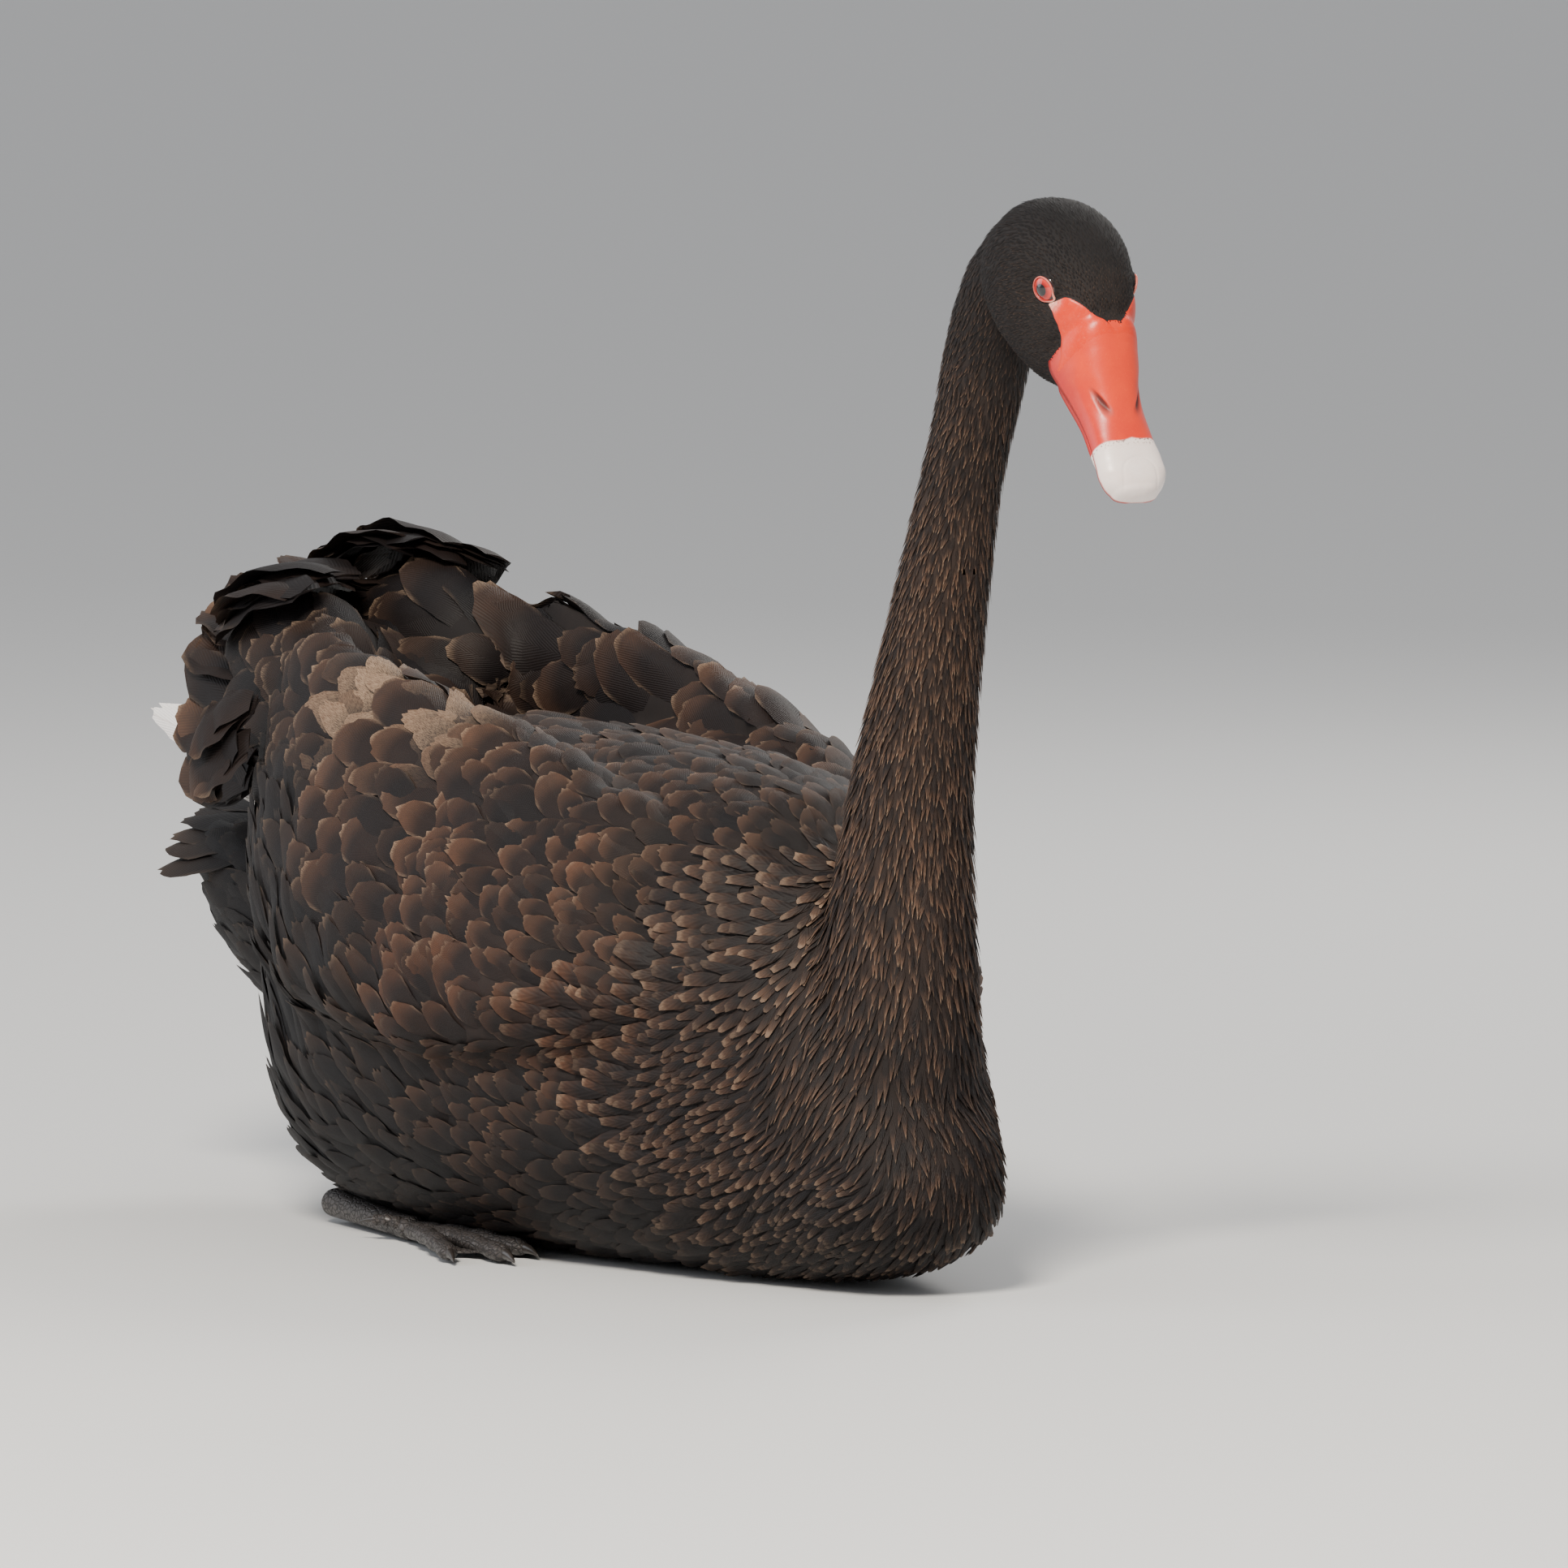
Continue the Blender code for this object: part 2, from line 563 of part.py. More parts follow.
def wing_point(side, x, share, lift=0.0):
    """A place on the folded wing: share runs from the ridge, 0, over its outer face to the lower edge, 1."""
    ridge_y, ridge_z, edge_y, edge_z, bulge = along(WING_STATIONS, x)
    back = (WING_HIGHER_FROM - x) / (WING_HIGHER_FROM - WING_HIGHER_TO)
    ridge_z += WING_HIGHER[side] * min(1.0, max(0.0, back))
    down = Vector((0, edge_y - ridge_y, edge_z - ridge_z))
    half = down.length / 2
    down.normalize()
    out = Vector((0, -down.z, down.y))
    angle = math.pi * share
    point = Vector((x, (ridge_y + edge_y) / 2, (ridge_z + edge_z) / 2))
    point += out * bulge * math.sin(angle) - down * half * math.cos(angle)
    point += (out * half * math.sin(angle) - down * bulge * math.cos(angle)).normalized() * lift
    return Vector((point.x, side * point.y, point.z))


def make_covert(side, x, share, length):
    """A covert rooted at x and share on the wing, lying back and up over its surface."""
    rise = mixed(COVERT_RISE, share)

    def place(t, lift):
        back, up = t * length * math.cos(rise), t * length * math.sin(rise)
        return wing_point(side, x - back, share - up / WING_ARC, lift)

    def path(t):
        return place(t, -COVERT_SINK + (COVERT_SINK + COVERT_LIFT) * (1 - (1 - t) ** COVERT_LIFT_POWER))

    def normal_at(t):
        return place(t, COVERT_LIFT) - place(t, 0.0)

    return vane(path, normal_at, COVERT_HALF_WIDTH, COVERT_PROFILE, side * COVERT_TILT)


def make_wing(side, name, torso, draw):
    rings = []
    for x in eased(*WING_CORE_ENDS, WING_RINGS):
        rings.append([wing_point(side, x, 2 * (j + 0.5) / WING_SIDES) for j in range(WING_SIDES)])
    wing = loft(name, rings)
    vanes = []
    for tier in range(COVERT_TIERS):
        back = tier / (COVERT_TIERS - 1)
        first_x = mixed((COVERT_FIRST_X, COVERT_LAST_X), back)
        for column in range(COVERTS_IN_TIER):
            share = (column + COVERT_SHARES[tier % 2]) / (COVERTS_IN_TIER + 0.1)
            x = first_x - COVERT_SLANT * (share - 0.5) + draw.uniform(-COVERT_SCATTER, COVERT_SCATTER)
            length = mixed(COVERT_LENGTH, back) * draw.uniform(0.95, 1.05)
            vanes.append(make_covert(side, x, share, length))
    wing, forms = feathered(wing, vanes)
    cut_clear(wing, [torso], GAP, "MANIFOLD")
    return wing, forms


def make_plume(side, lift, root, bend, tip, half_width, roll):
    """A curled feather whose face points up, or out to its side by the angle roll."""
    root, bend, tip = (Vector((x, side * out, z)) for x, out, z in (root, bend, tip))
    bend.z += 2 * lift
    tip.z += lift
    face = Vector((0, side * math.sin(math.radians(roll)), math.cos(math.radians(roll))))
    return vane(lambda t: bent(root, bend, tip, t), lambda t: face, half_width, PLUME_PROFILE)


def make_plumes(name, side, bed, table, lift, clear_of):
    """Curled feathers that grow from one oval bed, cut clear of the neighbours."""
    (x, out, z), half_sizes = bed
    core = ellipsoid(name, Vector((x, side * out, z)), half_sizes)
    plumes, forms = feathered(core, [make_plume(side, lift, *row) for row in table])
    cut_clear(plumes, clear_of, VANE_GAP, "MANIFOLD")
    return plumes, forms


def make_tail(clear_of):
    rings = []
    for x in eased(UNDERTAIL_STATIONS[0][0], UNDERTAIL_STATIONS[-1][0], UNDERTAIL_RINGS):
        rings.append(oval_ring(x, *along(UNDERTAIL_STATIONS, x), *UNDERTAIL_SHAPE))
    wedge = loft("tail", rings)
    vanes = []
    for i in range(TAIL_FEATHERS):
        across = 2 * i / (TAIL_FEATHERS - 1) - 1
        outer = across * across
        turn = across * TAIL_SPREAD
        length = mixed(TAIL_LENGTH, outer)
        reach = Vector((-length * math.cos(turn), length * math.sin(turn) * TAIL_GATHER, 0))
        rise = TAIL_STAGGER * (i % 2) - TAIL_BASE_DROOP * outer
        root = TAIL_ROOT + Vector((0, across * TAIL_HALF_BASE, rise))
        tip = root + reach + Vector((0, 0, TAIL_RISE * (1 - outer) - TAIL_DROOP * outer))
        bend = (root + tip) / 2 + Vector((0, 0, TAIL_ARCH))
        face = Vector((0, math.sin(turn), math.cos(turn)))
        curve = (lambda t, r=root, b=bend, e=tip: bent(r, b, e, t), lambda t, f=face: f)
        vanes.append(vane(*curve, TAIL_HALF_WIDTH, PLUME_PROFILE))
    tail, forms = feathered(wedge, vanes)
    cut_clear(tail, clear_of, VANE_GAP, "MANIFOLD")
    return tail, forms


def flat_ring(side, x, out, middle, half_width, half_height, sides):
    """A ring across x, pressed flat where it would go under the floor."""
    ring = []
    for j in range(sides):
        angle = 2 * math.pi * (j + 0.5) / sides
        level = max(middle + half_height * math.sin(angle), 0.0)
        ring.append(Vector((x, side * (out + half_width * math.cos(angle)), level)))
    return ring


def make_leg(side, name):
    """A shank laid forward along the floor, with three webbed toes and a small hind one."""
    rings = []
    for x in eased(SHANK_STATIONS[0][0], SHANK_STATIONS[-1][0], SHANK_RINGS):
        rings.append(flat_ring(side, x, *along(SHANK_STATIONS, x), SHANK_SIDES))
    leg = loft(name, rings)
    root_x, root_out = TOE_ROOT
    forms = []
    for reach, spread, half_width in (*TOES, HIND_TOE):
        toe_rings = []
        for share, width in TOE_PROFILE:
            half = half_width * width
            place = (root_x + reach * share, root_out + spread * share)
            toe_rings.append(flat_ring(side, *place, half * TOE_RISE, half, half, TOE_SIDES))
        forms.append(loft("toe", toe_rings))
    outline = [(root_x - WEB_BACK, root_out)]
    outline += [(root_x + r * WEB_SHARE, root_out + s * WEB_SHARE) for r, s, _ in TOES]
    forms.append(loft("web", [[Vector((x, side * out, z)) for x, out in outline] for z in WEB_LEVELS]))
    apply_boolean(leg, "UNION", forms)
    return leg


def finish_material(obj, slot):
    colour, roughness, metallic = MATERIALS[slot]
    material = bpy.data.materials.get(slot)
    if material is None:
        material = bpy.data.materials.new(slot)
        material.use_nodes = True
        shader = material.node_tree.nodes["Principled BSDF"]
        shader.inputs["Base Color"].default_value = (*colour, 1.0)
        shader.inputs["Roughness"].default_value = roughness
        shader.inputs["Metallic"].default_value = metallic
    obj.data.materials.clear()
    obj.data.materials.append(material)
    obj.data.shade_smooth()
    obj.data.set_sharp_from_angle(angle=math.radians(40))


def main():
    clear_scene()
    draw = random.Random(11)
    torso = make_torso()
    head = make_head()
    neck = make_neck(torso, head)
    bill = make_bill(head)
    eyes = make_eyes(head)
    plumage = [torso, head, *neck]
    white = []
    wing_forms = []
    for side, end in SIDES:
        wing, forms = make_wing(side, f"wing_{end}", torso, draw)
        plumage.append(wing)
        wing_forms += forms
    tail, tail_forms = make_tail([torso, *wing_forms])
    plumage.append(tail)
    helpers = wing_forms + tail_forms
    for side, end in SIDES:
        row = (PRIMARY_BED, PRIMARIES, 0.0, [torso, *helpers])
        primaries, forms = make_plumes(f"primaries_{end}", side, *row)
        helpers += forms
        white.append(primaries)
    for side, end in SIDES:
        row = (TERTIAL_BED, TERTIALS, TERTIAL_LIFT[side], [torso, *helpers])
        tertials, forms = make_plumes(f"tertials_{end}", side, *row)
        helpers += forms
        plumage.append(tertials)
    legs = [make_leg(side, f"leg_{end}") for side, end in SIDES]
    cut_clear(torso, legs)
    for helper in helpers:
        bpy.data.objects.remove(helper, do_unlink=True)
    slots = {"plumage": plumage, "flight_white": white, "bill": bill, "eye": eyes, "foot": legs}
    for slot, objects in slots.items():
        for obj in objects:
            finish_material(obj, slot)


main()
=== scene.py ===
# A black swan at rest on its belly: skin, feathers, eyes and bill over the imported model
import math

import bpy
import numpy as np
from mathutils import Matrix, Vector
from mathutils.bvhtree import BVHTree
from mathutils.kdtree import KDTree


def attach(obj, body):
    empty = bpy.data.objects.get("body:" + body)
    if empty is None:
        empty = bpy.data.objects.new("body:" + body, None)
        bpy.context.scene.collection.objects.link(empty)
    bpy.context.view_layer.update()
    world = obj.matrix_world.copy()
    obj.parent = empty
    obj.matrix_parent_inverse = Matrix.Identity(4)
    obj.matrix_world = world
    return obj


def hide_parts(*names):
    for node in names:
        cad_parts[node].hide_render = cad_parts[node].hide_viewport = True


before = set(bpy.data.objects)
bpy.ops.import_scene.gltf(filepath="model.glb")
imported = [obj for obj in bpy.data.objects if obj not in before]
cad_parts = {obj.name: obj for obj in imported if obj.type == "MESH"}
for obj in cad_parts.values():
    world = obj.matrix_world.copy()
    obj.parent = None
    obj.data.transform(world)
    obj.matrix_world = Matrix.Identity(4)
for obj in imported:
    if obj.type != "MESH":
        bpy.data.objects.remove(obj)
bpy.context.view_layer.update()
bpy.ops.object.select_all(action="DESELECT")
print("frame loaded,", len(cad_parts), "nodes")

sides = (-1, 1)  # right, left
sideNames = {-1: "right", 1: "left"}


def smoothStep(value, low, high):
    share = np.clip((value - low) / (high - low), 0.0, 1.0)
    return share * share * (3 - 2 * share)


def unit(vectors):
    return vectors / np.maximum(np.linalg.norm(vectors, axis=-1, keepdims=True), 1e-12)


def selectOnly(piece):
    bpy.ops.object.select_all(action="DESELECT")
    piece.select_set(True)
    bpy.context.view_layer.objects.active = piece


def applied(piece, kind, **settings):
    modifier = piece.modifiers.new(kind.lower(), kind)
    for name, value in settings.items():
        setattr(modifier, name, value)
    selectOnly(piece)
    bpy.ops.object.modifier_apply(modifier=modifier.name)


def faceOutwards(piece):
    selectOnly(piece)
    bpy.ops.object.mode_set(mode="EDIT")
    bpy.ops.mesh.select_all(action="SELECT")
    bpy.ops.mesh.normals_make_consistent(inside=False)
    bpy.ops.object.mode_set(mode="OBJECT")
    bpy.ops.object.shade_smooth()


def joined(pieces, name):
    bpy.ops.object.select_all(action="DESELECT")
    for piece in pieces:
        piece.select_set(True)
    bpy.context.view_layer.objects.active = pieces[0]
    bpy.ops.object.join()
    bpy.context.object.name = bpy.context.object.data.name = name
    return bpy.context.object


def meshPoints(mesh):
    points = np.empty(len(mesh.vertices) * 3)
    mesh.vertices.foreach_get("co", points)
    return points.reshape(-1, 3)


def setPoints(mesh, points):
    mesh.vertices.foreach_set("co", np.ascontiguousarray(points, dtype=np.float32).ravel())
    mesh.update()


def meshNormals(mesh):
    normals = np.empty(len(mesh.vertices) * 3)
    mesh.vertex_normals.foreach_get("vector", normals)
    return normals.reshape(-1, 3)


def shapedBall(name, segments, rings, place):
    # a round primitive whose every point moves to place(share from pole to pole, angle about the axis)
    bpy.ops.mesh.primitive_uv_sphere_add(segments=segments, ring_count=rings, radius=1.0)
    piece = bpy.context.object
    piece.name = piece.data.name = name
    for vertex in piece.data.vertices:
        share = math.acos(max(-1.0, min(1.0, vertex.co.z))) / math.pi
        vertex.co = place(share, math.atan2(vertex.co.y, vertex.co.x))
    faceOutwards(piece)
    return piece


def throughRows(rows, x):
    # the rows' values at x, on a smooth curve through them
    table = np.array(rows, dtype=float)
    knots, values = table[:, 0], table[:, 1:]
    slopes = np.gradient(values, knots, axis=0)
    k = min(max(int(np.searchsorted(knots, x)) - 1, 0), len(knots) - 2)
    step = knots[k + 1] - knots[k]
    t = min(max((x - knots[k]) / step, 0.0), 1.0)
    early = values[k] * (1 + 2 * t) * (1 - t) ** 2 + slopes[k] * step * t * (1 - t) ** 2
    return early + values[k + 1] * t * t * (3 - 2 * t) + slopes[k + 1] * step * t * t * (t - 1)


def paint(piece, values):
    # four values for each point, read by the materials
    layer = piece.data.attributes.new("tone", "FLOAT_COLOR", "POINT")
    layer.data.foreach_set("color", np.asarray(values, dtype=np.float32).ravel())


def finished(piece, material, slot, *nodes):
    # material, root joint, a colour slot name that is not used, and the imported nodes that the piece
    # stands for
    piece.data.materials.clear()
    piece.data.materials.append(material)
    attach(piece, "root")
    if nodes:
        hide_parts(*nodes)


neck = {
    # middle line from the breast to the nape: x, z
    "line": ((0.1740, 0.062), (0.1895, 0.085), (0.1920, 0.108), (0.1950, 0.139), (0.2012, 0.1865),
             (0.2137, 0.2345), (0.2292, 0.2825), (0.2398, 0.314), (0.2532, 0.346), (0.2615, 0.368),
             (0.2730, 0.3885), (0.2880, 0.4025)),
}
head = {
    "origin": Vector((0.335, 0.0, 0.360)),  # the middle of the gape
    "pitch": math.radians(50.0),
    # lower edge of the bare skin from the eye to the corner of the mouth: along, up
    "cheekLine": ((-0.0300, 0.0185), (-0.0207, 0.0176), (-0.0158, 0.0178), (-0.0115, 0.0164),
                  (-0.0060, 0.0118), (-0.0023, 0.0086), (0.0007, 0.0025), (0.0020, -0.0200)),
    "above": 0.28,  # height that only neck and head reach
}
headForward = np.array((math.cos(head["pitch"]), 0.0, -math.sin(head["pitch"])))
headUp = np.array((math.sin(head["pitch"]), 0.0, math.cos(head["pitch"])))


def headPlace(along, up, out):
    place = np.array(head["origin"]) + headForward * along + headUp * up
    return Vector(place + np.array((0.0, out, 0.0)))


def inHead(points):
    # along the bill, up from the gape, and out to either side
    away = points - np.array(head["origin"])
    return away @ headForward, away @ headUp, np.abs(points[:, 1])


def bareSkin(points):
    # above nought on the bare skin between bill and eye, in metres from the feather line
    along, up, out = inHead(points)
    brow = along - 0.0010 + 1.22 * np.sqrt(out ** 2 + 0.0022 ** 2)
    cheek = up - np.interp(along, *np.array(head["cheekLine"]).T)
    return np.minimum(brow, cheek)


def alongNeck(points):
    # share of the way up the neck, distance from its middle line, and its heading towards the breast
    line = np.array([(x, 0.0, z) for x, z in neck["line"]])
    starts, steps = line[:-1], line[1:] - line[:-1]
    lengths = np.linalg.norm(steps, axis=1)
    before = np.concatenate([[0.0], np.cumsum(lengths)])[:-1]
    away = points[:, None, :] - starts[None]
    share = np.clip((away * steps).sum(-1) / (lengths ** 2), 0.0, 1.0)
    nearest = starts + steps * share[..., None]
    distance = np.linalg.norm(points[:, None, :] - nearest, axis=-1)
    best = distance.argmin(axis=1)
    pick = np.arange(len(points))
    reached = (before[best] + lengths[best] * share[pick, best]) / lengths.sum()
    return reached, distance[pick, best], -unit(steps[best])


# camera, floor and light
photo = {
    "side": 1932,  # pixels
    "anchorPixel": (1103, 1344),  # where the breast's foot shows
    "anchor": Vector((0.19, 0.0, 0.078)),
    "pixelsPerMetre": 3200.0,
    "distance": 6.0,
    "turn": math.radians(30.0),  # from the bird's heading towards its right
    "height": math.radians(5.5),
    "sensor": 36.0,
}


def aimed(place, target):
    return (target - place).to_track_quat("-Z", "Y").to_euler()


def makeCamera():
    turn, height = photo["turn"], photo["height"]
    back = Vector((math.cos(turn) * math.cos(height), -math.sin(turn) * math.cos(height), math.sin(height)))
    right = Vector((math.sin(turn), math.cos(turn), 0.0))
    up = back.cross(right)
    place = photo["anchor"] + back * photo["distance"]
    middle = photo["side"] / 2
    across = (photo["anchorPixel"][0] - middle) / photo["pixelsPerMetre"]
    down = (photo["anchorPixel"][1] - middle) / photo["pixelsPerMetre"]
    aim = photo["anchor"] - right * across + up * down
    bpy.ops.object.camera_add(location=place, rotation=aimed(place, aim))
    camera = bpy.context.object
    camera.data.sensor_width = photo["sensor"]
    camera.data.lens = photo["sensor"] * photo["pixelsPerMetre"] * photo["distance"] / photo["side"]
    camera.data.clip_end = 200.0
    bpy.context.scene.camera = camera


studio = {
    "floorSize": 60.0,
    "floorColour": (0.60, 0.60, 0.60, 1.0),
    "floorRoughness": 0.75,
    "worldColour": (0.90, 0.91, 0.93, 1.0),
    "worldStrength": 0.70,
    "target": Vector((0.05, 0.0, 0.18)),  # what the lights face
    # place, size, power, colour
    "key": ((1.9, -1.7, 2.2), 0.9, 190.0, (1.0, 0.93, 0.82)),
    "fill": ((-1.6, -2.4, 1.2), 2.4, 30.0, (0.88, 0.93, 1.0)),
    "rim": ((-1.3, 2.0, 1.8), 1.2, 38.0, (1.0, 0.97, 0.92)),
}


def makeStudio():
    bpy.ops.mesh.primitive_plane_add(size=studio["floorSize"])
    floor = bpy.context.object
    floor.name = "floor"
    material = bpy.data.materials.new("paleFloor")
    material.use_nodes = True
    shader = material.node_tree.nodes["Principled BSDF"]
    shader.inputs["Base Color"].default_value = studio["floorColour"]
    shader.inputs["Roughness"].default_value = studio["floorRoughness"]
    floor.data.materials.append(material)
    world = bpy.data.worlds.new("softRoom")
    world.use_nodes = True
    background = world.node_tree.nodes["Background"]
    background.inputs["Color"].default_value = studio["worldColour"]
    background.inputs["Strength"].default_value = studio["worldStrength"]
    bpy.context.scene.world = world
    for name in ("key", "fill", "rim"):
        place, size, power, colour = studio[name]
        turned = aimed(Vector(place), studio["target"])
        bpy.ops.object.light_add(type="AREA", location=place, rotation=turned)
        light = bpy.context.object
        light.name = name
        light.data.shape = "DISK"
        light.data.size = size
        light.data.energy = power
        light.data.color = colour


makeCamera()
makeStudio()
print("camera, floor and light made")


# shader maths: a wrapped socket, and one method for every other node
class Wire:
    def __init__(self, socket):
        self.socket = socket

    def node(self, kind, settings, sockets, output=0):
        tree = self.socket.id_data
        made = tree.nodes.new(kind)
        for name, value in settings.items():
            if name == "stops":
                ramp = made.color_ramp
                while len(ramp.elements) < len(value):
                    ramp.elements.new(0.5)
                for stop, (place, colour) in zip(ramp.elements, value):
                    stop.position = place
                    stop.color = (*colour, 1.0)
            else:
                setattr(made, name, value)
        for name, value in sockets.items():
            if isinstance(value, Wire):
                tree.links.new(value.socket, made.inputs[name])
            else:
                made.inputs[name].default_value = value
        return Wire(made.outputs[output])

    def maths(self, operation, first, second):
        return self.node("ShaderNodeMath", {"operation": operation}, {0: first, 1: second})

    def __add__(self, other):
        return self.maths("ADD", self, other)

    def __radd__(self, other):
        return self.maths("ADD", other, self)

    def __sub__(self, other):
        return self.maths("SUBTRACT", self, other)

    def __rsub__(self, other):
        return self.maths("SUBTRACT", other, self)

    def __mul__(self, other):
        return self.maths("MULTIPLY", self, other)

    def __rmul__(self, other):
        return self.maths("MULTIPLY", other, self)

    def __truediv__(self, other):
        return self.maths("DIVIDE", self, other)

    def __pow__(self, other):
        return self.maths("POWER", self, other)

    def __abs__(self):
        return self.maths("ABSOLUTE", self, 0.0)

    def sine(self):
        return self.maths("SINE", self, 0.0)

    def most(self, other):
        return self.maths("MAXIMUM", self, other)

    def step(self, low, high):
        # eased from 0 at low to 1 at high
        settings = {"interpolation_type": "SMOOTHSTEP", "clamp": True}
        return self.node("ShaderNodeMapRange", settings, {0: self, 1: low, 2: high, 3: 0.0, 4: 1.0})

    def mix(self, first, second):
        # from colour first to colour second by this wire's value
        first = first if isinstance(first, Wire) else (*first, 1.0)
        second = second if isinstance(second, Wire) else (*second, 1.0)
        settings = {"data_type": "RGBA", "clamp_factor": True}
        return self.node("ShaderNodeMix", settings, {0: self, 6: first, 7: second}, 2)

    def noise(self, scale, detail=3.0, roughness=0.55, output=0):
        sockets = {"Vector": self, "Scale": scale, "Detail": detail, "Roughness": roughness}
        return self.node("ShaderNodeTexNoise", {}, sockets, output)

    def stretched(self, x, y, z):
        return self.node("ShaderNodeVectorMath", {"operation": "MULTIPLY"}, {0: self, 1: (x, y, z)})

    def parts(self):
        made = self.node("ShaderNodeSeparateXYZ", {}, {"Vector": self})
        return [Wire(output) for output in made.socket.node.outputs]

    def bump(self, distance, strength=1.0):
        sockets = {"Height": self, "Distance": distance, "Strength": strength}
        return self.node("ShaderNodeBump", {}, sockets)

    def painted(self):
        # the four values that paint left on the piece
        tone = self.node("ShaderNodeAttribute", {"attribute_name": "tone"}, {}, 1)
        return *tone.parts(), Wire(tone.socket.node.outputs["Alpha"])

    def onVane(self):
        # across and along a feather
        return self.node("ShaderNodeUVMap", {"uv_map": "vane"}, {})


def newMaterial(name, roughness, **fixed):
    # the material, its shader's inputs, and a wire of object coordinates to start from
    material = bpy.data.materials.new(name)
    material.use_nodes = True
    tree = material.node_tree
    inputs = tree.nodes["Principled BSDF"].inputs
    inputs["Roughness"].default_value = roughness
    for socket, value in fixed.items():
        inputs[socket.replace("_", " ")].default_value = value
    coordinates = Wire(tree.nodes.new("ShaderNodeTexCoord").outputs["Object"])
    return material, inputs, coordinates


def feed(inputs, **wires):
    for socket, wire in wires.items():
        target = inputs[socket.replace("_", " ")]
        wire.socket.id_data.links.new(wire.socket, target)


bill = {
    # from inside the head to the tip: along, half width, edge height, ridge height
    "upper": (
        (-0.0150, 0.0120, 0.0020, 0.0260), (-0.0060, 0.0158, 0.0, 0.0290), (0.0040, 0.0152, 0.0, 0.0240),
        (0.0140, 0.0136, 0.0005, 0.0182), (0.0240, 0.0128, 0.0010, 0.0134),
        (0.0340, 0.0130, 0.0012, 0.0105),
        (0.0440, 0.0140, 0.0008, 0.0090), (0.0500, 0.0138, -0.0005, 0.0078),
        (0.0545, 0.0108, -0.0025, 0.0058),
        (0.0570, 0.0070, -0.0035, 0.0036), (0.0582, 0.0022, -0.0032, 0.0006),
    ),
    # along, half width, keel height, edge height
    "lower": (
        (-0.0150, 0.0100, -0.0100, -0.0030), (-0.0060, 0.0128, -0.0100, -0.0004),
        (0.0040, 0.0130, -0.0085, -0.0004),
        (0.0240, 0.0118, -0.0060, 0.0004), (0.0440, 0.0122, -0.0048, 0.0002),
        (0.0500, 0.0100, -0.0050, -0.0014),
        (0.0530, 0.0050, -0.0052, -0.0034),
    ),
    "segments": 144,
    "rings": 190,
    "corner": 0.75,  # powers that round the section
    "dome": 0.80,
    "reach": 1.35,  # crowds the rings towards the tip
    "wall": 0.0014,  # of the lip round the roof of the mouth
    "roof": 0.0020,
    "sunk": 0.05,  # how much the upper half shrinks beneath the feathers
    "band": 0.0372,  # where the pale tip starts
    "nostril": (0.0213, 0.0117, math.radians(-4.0)),  # along, up, turn
    "slit": (0.0058, 0.0010, 0.0012),  # half length, half height, depth
    "hollow": (0.0110, 0.0040, 0.0008),
    "nail": (0.0450, 0.0072, 0.00022),  # start and half width of the hard tip, depth of its edge
}

# the skin, one mesh from breast to bill that carries the whole coat
skin = {
    "nodes": ("torso", "neck_lower", "neck_upper", "head", "wing_right", "wing_left", "bill_upper",
              "bill_lower", "tail"),
    "voxel": 0.0024,
    "wingVoxel": 0.0060,
    "wingSmoothing": 10,
    "tailSmoothing": 6,
    "smoothing": 14,
    "headSmoothing": 5,
    "front": 0.0045,  # along the bill, where the skin ends beneath it
    # oval forms that fill the rear under the plumes, and the eye sockets: middle, half sizes, pitch
    "fillers": (
        ((-0.214, 0.0, 0.186), (0.050, 0.048, 0.034), 8.0),
        ((-0.256, 0.0, 0.180), (0.044, 0.048, 0.038), 0.0),
        ((-0.236, 0.028, 0.222), (0.056, 0.028, 0.037), 4.0),
        ((-0.236, -0.028, 0.216), (0.056, 0.028, 0.032), 4.0),
        ((-0.242, 0.030, 0.196), (0.050, 0.026, 0.034), 0.0),
        ((-0.242, -0.030, 0.194), (0.050, 0.026, 0.034), 0.0),
        ((0.3339, 0.0142, 0.3924), (0.0070, 0.0070, 0.0070), 0.0),
        ((0.3339, -0.0142, 0.3924), (0.0070, 0.0070, 0.0070), 0.0),
    ),
    "depthOnBody": 0.0040,  # of the coat
    "depthOnNeck": 0.0016,
    "depthOnHead": 0.0007,
    "headFaces": (-0.070, -0.032),  # along and up from which the faces are halved
    "eyeFaces": (0.022, 0.020, 0.015, 0.004),  # back, up, reach and least out: halved once more
    "pull": -0.387,  # minus half the mean of the bill's corner and dome
    "tuck": 0.0006,  # how deep its front edge dips under the bill
}


